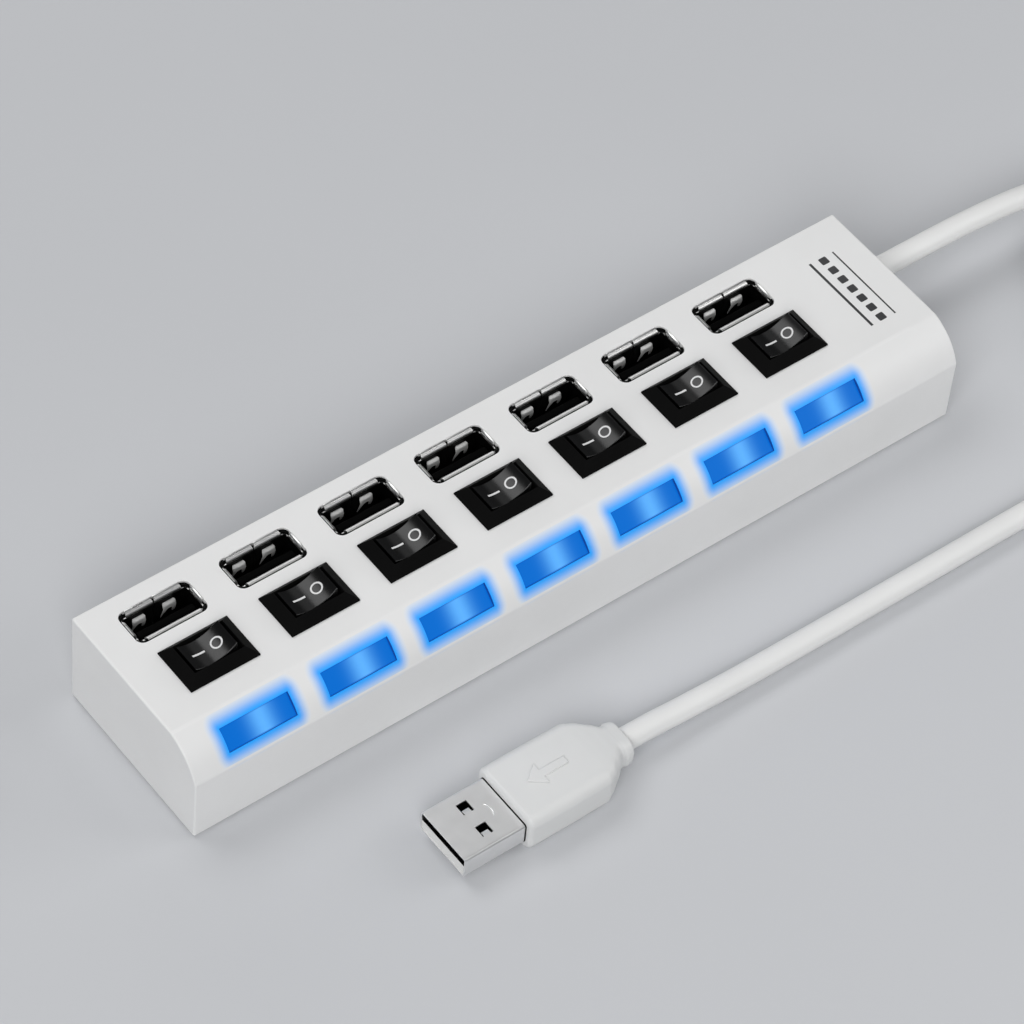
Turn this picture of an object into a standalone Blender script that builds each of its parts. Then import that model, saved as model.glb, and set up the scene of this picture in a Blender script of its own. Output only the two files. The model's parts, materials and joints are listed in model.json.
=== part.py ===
"""Seven-port desktop USB hub with a rocker switch and a lit window for each port.

Frame: metres, +Z up. The origin is the middle of the hub's footprint, on the surface it stands on.
+X runs along the hub to the end where the cable comes out, +Y to the long side nearest the ports.
The lit windows sit in the strip that slopes down to the -Y side.
"""

import math

import bmesh
import bpy
from mathutils import Vector

MM = 0.001
GAP = 0.3 * MM              # clearance between pieces that touch on the real hub

# Case
CASE_LENGTH = 161.6 * MM
CASE_DEPTH = 35.4 * MM
CASE_TOP = 20.5 * MM        # top face above the table
CASE_BOTTOM = 0.5 * MM      # bottom face above the table, the feet stand proud by this much
CREASE_Y = -10.6 * MM       # where the top face meets the sloping strip
FRONT_WALL_TOP = 14.0 * MM  # where the sloping strip meets the upright front wall
SLOPE_BULGE = 1.15 * MM     # how far the sloping strip bulges out at its middle
WALL = 2.0 * MM
EDGE_ROUND = 0.35 * MM

# Rows of ports, switches and windows
PORT_COUNT = 7
PITCH = 20.0 * MM
FIRST_PORT_X = -67.7 * MM
FIRST_SWITCH_X = -66.6 * MM
FIRST_WINDOW_X = -66.6 * MM
PORT_Y = 10.5 * MM
SWITCH_Y = -0.8 * MM

# USB type A receptacle, standing upright with its mouth up
SHELL_WIDTH = 13.1 * MM
SHELL_DEPTH = 5.7 * MM
SHELL_WALL = 0.3 * MM
SHELL_LIP_OUT = (0.2 * MM, 0.5 * MM)    # how far the short and the long lips flare out at the mouth
SHELL_CORNER_NOTCH = 0.6 * MM
SHELL_LIP_HEIGHT = 0.6 * MM
SHELL_TOP = 20.45 * MM
PORT_HOLE_WIDTH = 14.0 * MM
PORT_HOLE_DEPTH = 7.4 * MM
PORT_HOLE_ROUND = 1.4 * MM
TONGUE_WIDTH = 11.1 * MM
TONGUE_THICKNESS = 1.84 * MM
TONGUE_TO_FRONT = 0.66 * MM  # gap between the tongue and the receptacle's front wall
TONGUE_TOP = 19.4 * MM
TONGUE_BASE_HEIGHT = 3.0 * MM

# Rocker switch
BEZEL_BASE = (13.7 * MM, 9.6 * MM)
BEZEL_BASE_SHIFT = -0.2 * MM  # the base lies this far off the well's middle, towards the windows
BEZEL_RIM = (9.9 * MM, 6.5 * MM)
BEZEL_WELL = (9.7 * MM, 6.3 * MM)
BEZEL_UNDERSIDE = 20.8 * MM
BEZEL_EDGE = 0.15 * MM       # upright edge round the bezel's base
BEZEL_TOP = 22.4 * MM
SWITCH_BODY = (12.2 * MM, 8.4 * MM)
SWITCH_BODY_BOTTOM = 11.0 * MM
WELL_FLOOR = 17.6 * MM
ROCKER_PIVOT_Z = 20.9 * MM
ROCKER_HALF_LENGTH = 4.1 * MM
ROCKER_HALF_WIDTH = 2.85 * MM
ROCKER_END_HEIGHT = 2.35 * MM   # top edge at each end, above the pivot
ROCKER_MIDDLE_HEIGHT = 0.95 * MM
ROCKER_WAIST = 0.9 * MM         # where the upright ends give way to the rounded underside
ROCKER_BELLY = 2.4 * MM         # lowest point of the underside, below the pivot
ROCKER_TILT = math.radians(9.5)  # each way from level
STUB_RADIUS = 0.5 * MM
STUB_REACH = 3.4 * MM           # stub ends, either side of the rocker's middle
SOCKET_RADIUS = 0.8 * MM
SOCKET_REACH = 3.7 * MM

# Lit windows in the sloping strip
WINDOW_LENGTH = 13.0 * MM
WINDOW_HEIGHT = 3.8 * MM
WINDOW_DOWN_SLOPE = 0.53        # centre, as a fraction of the way from the crease down the strip
LENS_THICKNESS = 1.6 * MM
LENS_RISE = 0.7 * MM            # outer face above the straight line between the strip's two edges

# Board, light-emitting diodes and chip
BOARD_LENGTH = 156.4 * MM
BOARD_DEPTH = 30.0 * MM
BOARD_BOTTOM = 4.6 * MM
BOARD_THICKNESS = 1.6 * MM
LED_RADIUS = 1.5 * MM
LED_BASE_HEIGHT = 2.2 * MM
LED_INSET = 6.2 * MM            # from the window's outer face back to the middle of the diode
LED_LEG = 0.5 * MM
CHIP_SIZE = 9.0 * MM
CHIP_THICKNESS = 1.6 * MM
CHIP_X = 69.0 * MM
CHIP_Y = -8.5 * MM

# Bottom cover, screws and feet
COVER_THICKNESS = 1.6 * MM
BOSS_X = 75.4 * MM
BOSS_RADIUS = 2.3 * MM
BOSS_BOTTOM = 3.8 * MM
PAD_RADIUS = 3.0 * MM
PAD_TOP = 3.5 * MM
SCREW_HEAD_RADIUS = 2.1 * MM
SCREW_HEAD_BOTTOM = 0.7 * MM
SCREW_HEAD_TOP = 2.0 * MM
SCREW_SHANK_RADIUS = 1.1 * MM
SCREW_TIP = 10.0 * MM
POST_RADIUS = 1.5 * MM
POST_TOP = 4.3 * MM
POST_PLACES = [(x * MM, y * MM) for x in (-55.0, 0.0, 55.0) for y in (-12.5, 12.5)]
FOOT_RADIUS = 4.0 * MM
FOOT_THICKNESS = 1.0 * MM
FOOT_X = 70.0 * MM
FOOT_Y = 10.0 * MM

# Cable: leaves the +X end, lies in a coil past that end, and comes back along the front
CABLE_RADIUS = 2.15 * MM
CABLE_EXIT_Y = 9.0 * MM
CABLE_EXIT_Z = 11.0 * MM
BUSH_PROFILE = [                # half-section of the sleeve: (x, radius), outside, inner end first
    (76.4 * MM, 4.6 * MM),
    (78.4 * MM, 4.6 * MM),
    (78.4 * MM, 3.3 * MM),
    (81.1 * MM, 3.3 * MM),
    (81.1 * MM, 4.0 * MM),
    (82.4 * MM, 3.9 * MM),
    (85.4 * MM, 3.0 * MM),
]
BUSH_HOLE_RADIUS = 3.6 * MM
COIL_CENTRE = Vector((139.0 * MM, -18.8 * MM, 0.0))
COIL_RADIUS = 25.0 * MM
COIL_HALF_WIDTH = 4.3 * MM
COIL_BOTTOM = 0.9 * MM
COIL_TOP = 8.5 * MM
TIE_THICKNESS = 0.6 * MM
TIE_WIDTH = 5.0 * MM
CABLE_POINT_SPACING = 10.5 * MM
HUB_SIDE_ROUTE = [Vector((x * MM, y * MM, z * MM)) for x, y, z in (
    (75.5, 9.0, 11.0),
    (84.0, 9.0, 11.0),
    (93.0, 9.0, 11.0),
    (102.0, 9.0, 10.9),
    (110.0, 8.9, 10.6),
    (117.0, 8.7, 10.1),
    (122.9, 8.4, 9.4),
)]
PLUG_SIDE_ROUTE = [Vector((x * MM, y * MM, z * MM)) for x, y, z in (
    (120.2, -44.0, 2.15),
    (110.0, -44.1, 2.15),
    (95.0, -44.0, 2.15),
    (76.0, -43.8, 2.15),
    (55.0, -43.8, 2.15),
    (30.0, -43.8, 2.2),
    (12.0, -43.8, 2.5),
    (0.0, -43.8, 3.2),
    (-7.0, -43.8, 3.8),
    (-13.0, -43.8, 4.0),
)]

# USB type A plug, lying flat with its mouth towards -X
PLUG_Y = -43.8 * MM
PLUG_Z = 4.05 * MM
PLUG_MOUTH_X = -50.1 * MM
PLUG_SHELL_WIDTH = 12.0 * MM
PLUG_SHELL_HEIGHT = 4.5 * MM
PLUG_SHELL_REAR_X = -37.8 * MM
PLUG_WINDOW = (2.1 * MM, 2.3 * MM)   # each of the square windows: along X, along Y
PLUG_WINDOW_FROM_MOUTH = 6.3 * MM
PLUG_WINDOW_OFFSET = 2.6 * MM        # either side of the middle
PLUG_TONGUE_THICKNESS = 1.7 * MM
OVERMOULD_SECTIONS = [               # along the grip: (x, width, height, corner radius)
    (-37.6 * MM, 13.4 * MM, 7.3 * MM, 1.6 * MM),
    (-36.9 * MM, 14.6 * MM, 8.1 * MM, 2.0 * MM),
    (-28.5 * MM, 14.6 * MM, 8.1 * MM, 2.0 * MM),
    (-21.2 * MM, 14.4 * MM, 8.1 * MM, 2.0 * MM),
    (-19.6 * MM, 12.8 * MM, 7.9 * MM, 2.0 * MM),
    (-17.5 * MM, 9.9 * MM, 7.4 * MM, 2.2 * MM),
    (-15.8 * MM, 7.2 * MM, 6.7 * MM, 2.3 * MM),
    (-15.1 * MM, 7.2 * MM, 6.4 * MM, 2.3 * MM),
    (-14.6 * MM, 7.7 * MM, 6.2 * MM, 2.3 * MM),
    (-13.3 * MM, 7.4 * MM, 5.9 * MM, 2.3 * MM),
]

ROUND_SIDES = 20
CORNER_STEPS = 4


# ---------------------------------------------------------------- scene and materials

def clear_scene():
    for obj in list(bpy.data.objects):
        bpy.data.objects.remove(obj, do_unlink=True)


def make_material(name, colour, roughness, metallic=0.0, glow=0.0):
    material = bpy.data.materials.new(name)
    material.use_nodes = True
    shader = material.node_tree.nodes["Principled BSDF"]
    shader.inputs["Base Color"].default_value = (*colour, 1.0)
    shader.inputs["Roughness"].default_value = roughness
    shader.inputs["Metallic"].default_value = metallic
    if glow:
        shader.inputs["Emission Color"].default_value = (*colour, 1.0)
        shader.inputs["Emission Strength"].default_value = glow
    return material


def make_materials():
    return {
        "case": make_material("case_white_plastic", (0.86, 0.86, 0.87), 0.38),
        "switch": make_material("switch_black_plastic", (0.015, 0.015, 0.016), 0.28),
        "steel": make_material("plated_steel", (0.72, 0.72, 0.73), 0.22, metallic=1.0),
        "contact_block": make_material("contact_block_black", (0.02, 0.02, 0.022), 0.45),
        "lens": make_material("lit_window_blue", (0.02, 0.35, 0.90), 0.25, glow=2.0),
        "led": make_material("led_clear_resin", (0.75, 0.85, 0.95), 0.15),
        "board": make_material("board_green", (0.02, 0.18, 0.07), 0.5),
        "chip": make_material("chip_black", (0.02, 0.02, 0.02), 0.55),
        "rubber": make_material("foot_rubber", (0.05, 0.05, 0.05), 0.85),
        "cable": make_material("cable_white_vinyl", (0.84, 0.84, 0.85), 0.42),
        "tie": make_material("tie_white_plastic", (0.80, 0.80, 0.80), 0.5),
        "plug_insert": make_material("plug_insert_white", (0.82, 0.82, 0.80), 0.5),
    }


# ---------------------------------------------------------------- mesh helpers

def add_object(name, mesh_builder, material, smooth_angle=None):
    """Turn a bmesh into a named object, its faces pointing out."""
    bmesh.ops.recalc_face_normals(mesh_builder, faces=mesh_builder.faces)
    mesh = bpy.data.meshes.new(name)
    mesh_builder.to_mesh(mesh)
    mesh_builder.free()
    if smooth_angle is not None:
        mesh.shade_smooth()
        mesh.set_sharp_from_angle(angle=smooth_angle)
    obj = bpy.data.objects.new(name, mesh)
    bpy.context.scene.collection.objects.link(obj)
    if material is not None:
        mesh.materials.append(material)
    return obj


def add_cutter(name, mesh_builder):
    cutter = add_object(name, mesh_builder, None)
    cutter.hide_render = True
    cutter.display_type = "WIRE"
    return cutter


def combine(obj, tool, operation):
    modifier = obj.modifiers.new(f"{operation.lower()} {tool.name}", "BOOLEAN")
    modifier.operation = operation
    modifier.solver = "EXACT"
    modifier.object = tool


def bridge(mesh_builder, first_ring, second_ring):
    """Quads between two rings of vertices that have the same count."""
    count = len(first_ring)
    for i in range(count):
        j = (i + 1) % count
        mesh_builder.faces.new((first_ring[i], first_ring[j], second_ring[j], second_ring[i]))


def add_loft(mesh_builder, rings):
    """A closed solid through rings of points, capped at the first and the last."""
    rows = [[mesh_builder.verts.new(point) for point in ring] for ring in rings]
    for first_ring, second_ring in zip(rows, rows[1:]):
        bridge(mesh_builder, first_ring, second_ring)
    mesh_builder.faces.new(list(reversed(rows[0])))
    mesh_builder.faces.new(rows[-1])


def add_closed_loft(mesh_builder, rings):
    """A tube-like solid whose last ring joins its first, such as a sleeve's wall."""
    rows = [[mesh_builder.verts.new(point) for point in ring] for ring in rings]
    for i, ring in enumerate(rows):
        bridge(mesh_builder, ring, rows[(i + 1) % len(rows)])


def rectangle(half_x, half_y):
    return [(-half_x, -half_y), (half_x, -half_y), (half_x, half_y), (-half_x, half_y)]


def rounded_rectangle(width, height, radius, steps=CORNER_STEPS):
    """Outline of a rectangle with round corners, centred on the origin, anticlockwise."""
    points = []
    corners = ((1, 1, 0.0), (-1, 1, 0.5), (-1, -1, 1.0), (1, -1, 1.5))
    for side_x, side_y, start in corners:
        centre_x = side_x * (width / 2 - radius)
        centre_y = side_y * (height / 2 - radius)
        for i in range(steps + 1):
            angle = math.pi * (start + 0.5 * i / steps)
            points.append((centre_x + radius * math.cos(angle), centre_y + radius * math.sin(angle)))
    return points


def circle(radius, sides=ROUND_SIDES):
    return [(radius * math.cos(math.tau * i / sides), radius * math.sin(math.tau * i / sides))
            for i in range(sides)]


def add_upright(mesh_builder, outline, bottom, top, centre=(0.0, 0.0)):
    """An outline in plan, made solid between two heights."""
    add_loft(mesh_builder, [[(centre[0] + x, centre[1] + y, z) for x, y in outline]
                            for z in (bottom, top)])


def add_along_x(mesh_builder, outline, start, end):
    """An outline of (y, z) points, made solid between two places along X."""
    add_loft(mesh_builder, [[(x, y, z) for y, z in outline] for x in (start, end)])


def add_along_y(mesh_builder, outline, start, end):
    """An outline of (x, z) points, made solid between two places along Y."""
    add_loft(mesh_builder, [[(x, y, z) for x, z in outline] for y in (start, end)])


# ---------------------------------------------------------------- case

def slope_point(fraction, rise=0.0):
    """A point (y, z) this far down the straight line across the sloping strip, and above it."""
    top = Vector((CREASE_Y, CASE_TOP))
    foot = Vector((-CASE_DEPTH / 2, FRONT_WALL_TOP))
    outward = slope_outward()
    return top.lerp(foot, fraction) + outward * rise


def slope_outward():
    """Unit (y, z) direction out of the sloping strip."""
    down = Vector((-CASE_DEPTH / 2 - CREASE_Y, FRONT_WALL_TOP - CASE_TOP)).normalized()
    return Vector((down.y, -down.x))


def case_outline(inset, bottom):
    """End view of the case as (y, z) points, moved in by an inset."""
    half = CASE_DEPTH / 2
    strip_steps = 4
    outline = [(half - inset, bottom), (half - inset, CASE_TOP - inset)]
    for i in range(strip_steps + 1):
        fraction = i / strip_steps
        rise = 4 * SLOPE_BULGE * fraction * (1 - fraction)
        outline.append(tuple(slope_point(fraction, rise - inset)))
    if inset:
        # keep the inner corners on the inner top and the inner front wall
        outward = slope_outward()
        along = Vector((-outward.y, outward.x))
        crease = Vector(outline[2])
        foot = Vector(outline[-1])
        crease += along * ((CASE_TOP - inset - crease.y) / along.y)
        foot += along * ((-half + inset - foot.x) / along.x)
        outline[2] = tuple(crease)
        outline[-1] = tuple(foot)
    outline.append((-half + inset, bottom))
    return outline


def make_upper_case(materials):
    half_length = CASE_LENGTH / 2
    builder = bmesh.new()
    add_along_x(builder, case_outline(0.0, CASE_BOTTOM), -half_length, half_length)
    case = add_object("upper_case", builder, materials["case"], math.radians(20))

    rounding = case.modifiers.new("rounded edges", "BEVEL")
    rounding.width = EDGE_ROUND
    rounding.segments = 2
    rounding.limit_method = "ANGLE"
    rounding.angle_limit = math.radians(18)

    builder = bmesh.new()
    add_along_x(builder, case_outline(WALL, -WALL), -half_length + WALL, half_length - WALL)
    combine(case, add_cutter("case_cavity", builder), "DIFFERENCE")

    builder = bmesh.new()
    for side in (-1, 1):
        add_upright(builder, circle(BOSS_RADIUS), BOSS_BOTTOM, CASE_TOP - WALL / 2, (side * BOSS_X, 0.0))
    combine(case, add_cutter("screw_bosses", builder), "UNION")

    combine(case, add_cutter("case_openings", case_openings()), "DIFFERENCE")
    return case


def case_openings():
    """Everything that is cut through the upper case, as one set of separate solids."""
    builder = bmesh.new()
    above = CASE_TOP + WALL
    below = CASE_TOP - 2 * WALL
    port_hole = rounded_rectangle(PORT_HOLE_WIDTH, PORT_HOLE_DEPTH, PORT_HOLE_ROUND)
    switch_hole = rectangle(SWITCH_BODY[0] / 2 + GAP, SWITCH_BODY[1] / 2 + GAP)
    for n in range(PORT_COUNT):
        add_upright(builder, port_hole, below, above, (FIRST_PORT_X + n * PITCH, PORT_Y))
        add_upright(builder, switch_hole, below, above, (FIRST_SWITCH_X + n * PITCH, SWITCH_Y))
        window = slope_plate(WINDOW_HEIGHT + 2 * GAP, -2 * WALL, WALL)
        half = WINDOW_LENGTH / 2 + GAP
        centre_x = FIRST_WINDOW_X + n * PITCH
        add_along_x(builder, window, centre_x - half, centre_x + half)
    for side in (-1, 1):
        pilot = circle(SCREW_SHANK_RADIUS + GAP, 12)
        add_upright(builder, pilot, BOSS_BOTTOM - WALL, SCREW_TIP + GAP, (side * BOSS_X, 0.0))
    cable_hole = [(CABLE_EXIT_Y + y, CABLE_EXIT_Z + z) for y, z in circle(BUSH_HOLE_RADIUS)]
    add_along_x(builder, cable_hole, CASE_LENGTH / 2 - 2 * WALL, CASE_LENGTH / 2 + WALL)
    return builder


def slope_plate(height, inner, outer):
    """End view (y, z) of a flat plate square to the sloping strip, at the windows' height."""
    outward = slope_outward()
    along = Vector((-outward.y, outward.x))
    centre = slope_point(WINDOW_DOWN_SLOPE)
    corners = ((inner, -height / 2), (outer, -height / 2), (outer, height / 2), (inner, height / 2))
    return [tuple(centre + outward * out + along * run) for out, run in corners]


def make_bottom_cover(materials):
    half_length = CASE_LENGTH / 2 - WALL - GAP
    half_depth = CASE_DEPTH / 2 - WALL - GAP
    top = CASE_BOTTOM + COVER_THICKNESS
    builder = bmesh.new()
    add_upright(builder, rectangle(half_length, half_depth), CASE_BOTTOM, top)
    cover = add_object("bottom_cover", builder, materials["case"])

    overlap = COVER_THICKNESS / 2
    builder = bmesh.new()
    for side in (-1, 1):
        add_upright(builder, circle(PAD_RADIUS), top - overlap, PAD_TOP, (side * BOSS_X, 0.0))
    for place in POST_PLACES:
        add_upright(builder, circle(POST_RADIUS, 12), top - overlap, POST_TOP, place)
    combine(cover, add_cutter("cover_pads", builder), "UNION")

    builder = bmesh.new()
    for x, y in foot_places():
        add_upright(builder, circle(FOOT_RADIUS + GAP), -WALL, FOOT_THICKNESS + GAP, (x, y))
    for side in (-1, 1):
        head_room = circle(SCREW_HEAD_RADIUS + GAP)
        add_upright(builder, head_room, -WALL, SCREW_HEAD_TOP + GAP, (side * BOSS_X, 0.0))
    combine(cover, add_cutter("cover_pockets", builder), "DIFFERENCE")

    builder = bmesh.new()
    for side in (-1, 1):
        shank_room = circle(SCREW_SHANK_RADIUS + GAP, 12)
        add_upright(builder, shank_room, 0.0, PAD_TOP + WALL, (side * BOSS_X, 0.0))
    combine(cover, add_cutter("cover_screw_holes", builder), "DIFFERENCE")
    return cover


def foot_places():
    return [(side_x * FOOT_X, side_y * FOOT_Y) for side_x in (-1, 1) for side_y in (-1, 1)]


def make_feet(materials):
    for n, place in enumerate(foot_places(), start=1):
        builder = bmesh.new()
        add_upright(builder, circle(FOOT_RADIUS, 24), 0.0, FOOT_THICKNESS, place)
        add_object(f"rubber_foot_{n}", builder, materials["rubber"], math.radians(40))


def make_screws(materials):
    profile = [
        (SCREW_HEAD_RADIUS, SCREW_HEAD_BOTTOM),
        (SCREW_HEAD_RADIUS, SCREW_HEAD_TOP),
        (SCREW_SHANK_RADIUS, SCREW_HEAD_TOP),
        (SCREW_SHANK_RADIUS, SCREW_TIP - SCREW_SHANK_RADIUS),
        (SCREW_SHANK_RADIUS / 3, SCREW_TIP),
    ]
    for n, side in enumerate((-1, 1), start=1):
        builder = bmesh.new()
        rings = [[(side * BOSS_X + x, y, z) for x, y in circle(radius, 16)] for radius, z in profile]
        add_loft(builder, rings)
        add_object(f"case_screw_{n}", builder, materials["steel"], math.radians(40))


# ---------------------------------------------------------------- board and what it carries

def make_board(materials):
    top = BOARD_BOTTOM + BOARD_THICKNESS
    builder = bmesh.new()
    add_upright(builder, rectangle(BOARD_LENGTH / 2, BOARD_DEPTH / 2), BOARD_BOTTOM, top)
    board = add_object("circuit_board", builder, materials["board"])

    builder = bmesh.new()
    for side in (-1, 1):
        notch = rectangle(BOSS_RADIUS + 2 * GAP, BOSS_RADIUS + 2 * GAP)
        add_upright(builder, notch, BOARD_BOTTOM - WALL, top + WALL, (side * BOSS_X, 0.0))
    combine(board, add_cutter("board_notches", builder), "DIFFERENCE")
    return board


def make_chip(materials):
    bottom = BOARD_BOTTOM + BOARD_THICKNESS + GAP
    builder = bmesh.new()
    outline = rectangle(CHIP_SIZE / 2, CHIP_SIZE / 2)
    add_upright(builder, outline, bottom, bottom + CHIP_THICKNESS, (CHIP_X, CHIP_Y))
    add_object("hub_chip", builder, materials["chip"])


def make_led(n, materials):
    """A round diode on two legs, its dome turned up towards its window."""
    outward = slope_outward()
    along = Vector((-outward.y, outward.x))
    centre = slope_point(WINDOW_DOWN_SLOPE) - outward * LED_INSET
    centre_x = FIRST_WINDOW_X + n * PITCH
    sides = 12
    profile = [(LED_RADIUS, -LED_BASE_HEIGHT), (LED_RADIUS, 0.0)]
    dome_steps = 3
    dome_sweep = math.radians(83)
    for i in range(1, dome_steps + 1):
        angle = dome_sweep * i / dome_steps
        profile.append((LED_RADIUS * math.cos(angle), LED_RADIUS * math.sin(angle)))
    rings = []
    for radius, height in profile:
        ring = []
        for x, run in circle(radius, sides):
            place = centre + outward * height + along * run
            ring.append((centre_x + x, place.x, place.y))
        rings.append(ring)
    builder = bmesh.new()
    add_loft(builder, rings)
    led = add_object(f"led_{n + 1}", builder, materials["led"], math.radians(40))

    builder = bmesh.new()
    board_top = BOARD_BOTTOM + BOARD_THICKNESS + GAP
    body_middle = centre - outward * LED_BASE_HEIGHT / 2
    for side in (-1, 1):
        leg = rectangle(LED_LEG / 2, LED_LEG / 2)
        add_upright(builder, leg, board_top, body_middle.y, (centre_x + side * LED_RADIUS / 2, body_middle.x))
    combine(led, add_cutter(f"led_legs_{n + 1}", builder), "UNION")


# ---------------------------------------------------------------- receptacles

def shell_ring(flare, inset, z, centre_x):
    """Outline of the receptacle at one height, flared by a share of the lips' reach and moved in."""
    half_x = SHELL_WIDTH / 2 + flare * SHELL_LIP_OUT[0] - inset
    half_y = SHELL_DEPTH / 2 + flare * SHELL_LIP_OUT[1] - inset
    return [(centre_x + x, PORT_Y + y, z) for x, y in rectangle(half_x, half_y)]


def make_usb_shell(n, materials):
    """A folded steel tube, open at both ends, with four lips that flare out at the mouth."""
    centre_x = FIRST_PORT_X + n * PITCH
    bottom = BOARD_BOTTOM + BOARD_THICKNESS + GAP
    lip_foot = SHELL_TOP - SHELL_LIP_HEIGHT
    rings = [
        shell_ring(0.0, 0.0, bottom, centre_x),
        shell_ring(0.0, 0.0, lip_foot, centre_x),
        shell_ring(1.0, 0.0, SHELL_TOP, centre_x),
        shell_ring(1.0, SHELL_WALL, SHELL_TOP, centre_x),
        shell_ring(0.0, SHELL_WALL, lip_foot, centre_x),
        shell_ring(0.0, SHELL_WALL, bottom, centre_x),
    ]
    builder = bmesh.new()
    add_closed_loft(builder, rings)
    shell = add_object(f"usb_shell_{n + 1}", builder, materials["steel"])

    builder = bmesh.new()
    corner_x = SHELL_WIDTH / 2 + SHELL_LIP_OUT[0]
    corner_y = SHELL_DEPTH / 2 + SHELL_LIP_OUT[1]
    reach = SHELL_CORNER_NOTCH
    notch = [(reach, 0.0), (0.0, reach), (-reach, 0.0), (0.0, -reach)]
    for side_x in (-1, 1):
        for side_y in (-1, 1):
            place = (centre_x + side_x * corner_x, PORT_Y + side_y * corner_y)
            add_upright(builder, notch, lip_foot - GAP, SHELL_TOP + GAP, place)
    combine(shell, add_cutter(f"shell_corner_notches_{n + 1}", builder), "DIFFERENCE")


def make_usb_tongue(n, materials):
    """The contact block: a base that fills the tube's foot, and the tongue that stands on it."""
    centre_x = FIRST_PORT_X + n * PITCH
    front = PORT_Y - SHELL_DEPTH / 2 + SHELL_WALL
    back = PORT_Y + SHELL_DEPTH / 2 - SHELL_WALL - GAP
    tongue_front = front + TONGUE_TO_FRONT
    tongue_back = tongue_front + TONGUE_THICKNESS
    bottom = BOARD_BOTTOM + BOARD_THICKNESS + GAP
    shoulder = bottom + TONGUE_BASE_HEIGHT
    outline = [
        (front + GAP, bottom),
        (back, bottom),
        (back, shoulder),
        (tongue_back, shoulder),
        (tongue_back, TONGUE_TOP),
        (tongue_front, TONGUE_TOP),
        (tongue_front, shoulder),
        (front + GAP, shoulder),
    ]
    builder = bmesh.new()
    add_along_x(builder, outline, centre_x - TONGUE_WIDTH / 2, centre_x + TONGUE_WIDTH / 2)
    add_object(f"usb_tongue_{n + 1}", builder, materials["contact_block"])


# ---------------------------------------------------------------- rocker switches

def make_switch_housing(n, materials):
    """Bezel, body and the well that the rocker sits in, with a socket each side for its stubs."""
    centre = (FIRST_SWITCH_X + n * PITCH, SWITCH_Y)
    steps = [
        (SWITCH_BODY, 0.0, SWITCH_BODY_BOTTOM),
        (SWITCH_BODY, 0.0, BEZEL_UNDERSIDE),
        (BEZEL_BASE, BEZEL_BASE_SHIFT, BEZEL_UNDERSIDE),
        (BEZEL_BASE, BEZEL_BASE_SHIFT, BEZEL_UNDERSIDE + BEZEL_EDGE),
        (BEZEL_RIM, 0.0, BEZEL_TOP),
        (BEZEL_WELL, 0.0, BEZEL_TOP),
        (BEZEL_WELL, 0.0, WELL_FLOOR),
    ]
    rings = []
    for (width, depth), shift, z in steps:
        outline = rectangle(width / 2, depth / 2)
        rings.append([(centre[0] + x, centre[1] + shift + y, z) for x, y in outline])
    builder = bmesh.new()
    add_loft(builder, rings)
    housing = add_object(f"switch_housing_{n + 1}", builder, materials["switch"])

    builder = bmesh.new()
    socket = [(centre[0] + x, ROCKER_PIVOT_Z + z) for x, z in circle(SOCKET_RADIUS, 12)]
    add_along_y(builder, socket, centre[1] - SOCKET_REACH, centre[1] + SOCKET_REACH)
    combine(housing, add_cutter(f"stub_sockets_{n + 1}", builder), "DIFFERENCE")


def rocker_outline():
    """Side view of the rocker as (x, z) points about its pivot, dished along the top."""
    steps = 8
    rise = ROCKER_END_HEIGHT - ROCKER_MIDDLE_HEIGHT
    outline = []
    for i in range(steps + 1):
        x = ROCKER_HALF_LENGTH * (1 - 2 * i / steps)
        outline.append((x, ROCKER_MIDDLE_HEIGHT + rise * (x / ROCKER_HALF_LENGTH) ** 2))
    for i in range(steps + 1):
        x = -ROCKER_HALF_LENGTH * (1 - 2 * i / steps)
        drop = (ROCKER_BELLY - ROCKER_WAIST) * (1 - (x / ROCKER_HALF_LENGTH) ** 2)
        outline.append((x, -ROCKER_WAIST - drop))
    return outline


def make_rocker(n, materials):
    """The rocker, its origin on its pivot, tipped so that its -X end is pressed in."""
    builder = bmesh.new()
    add_along_y(builder, rocker_outline(), -ROCKER_HALF_WIDTH, ROCKER_HALF_WIDTH)
    rocker = add_object(f"rocker_{n + 1}", builder, materials["switch"], math.radians(25))
    rocker.location = (FIRST_SWITCH_X + n * PITCH, SWITCH_Y, ROCKER_PIVOT_Z)
    rocker.rotation_euler = (0.0, -ROCKER_TILT, 0.0)

    builder = bmesh.new()
    add_along_y(builder, circle(STUB_RADIUS, 12), -STUB_REACH, STUB_REACH)
    stubs = add_cutter(f"rocker_stubs_{n + 1}", builder)
    stubs.parent = rocker
    combine(rocker, stubs, "UNION")


# ---------------------------------------------------------------- lit windows

def make_light_lens(n, materials):
    centre_x = FIRST_WINDOW_X + n * PITCH
    outline = slope_plate(WINDOW_HEIGHT, LENS_RISE - LENS_THICKNESS, LENS_RISE)
    builder = bmesh.new()
    add_along_x(builder, outline, centre_x - WINDOW_LENGTH / 2, centre_x + WINDOW_LENGTH / 2)
    add_object(f"light_lens_{n + 1}", builder, materials["lens"])


# ---------------------------------------------------------------- cable and plug

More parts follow.
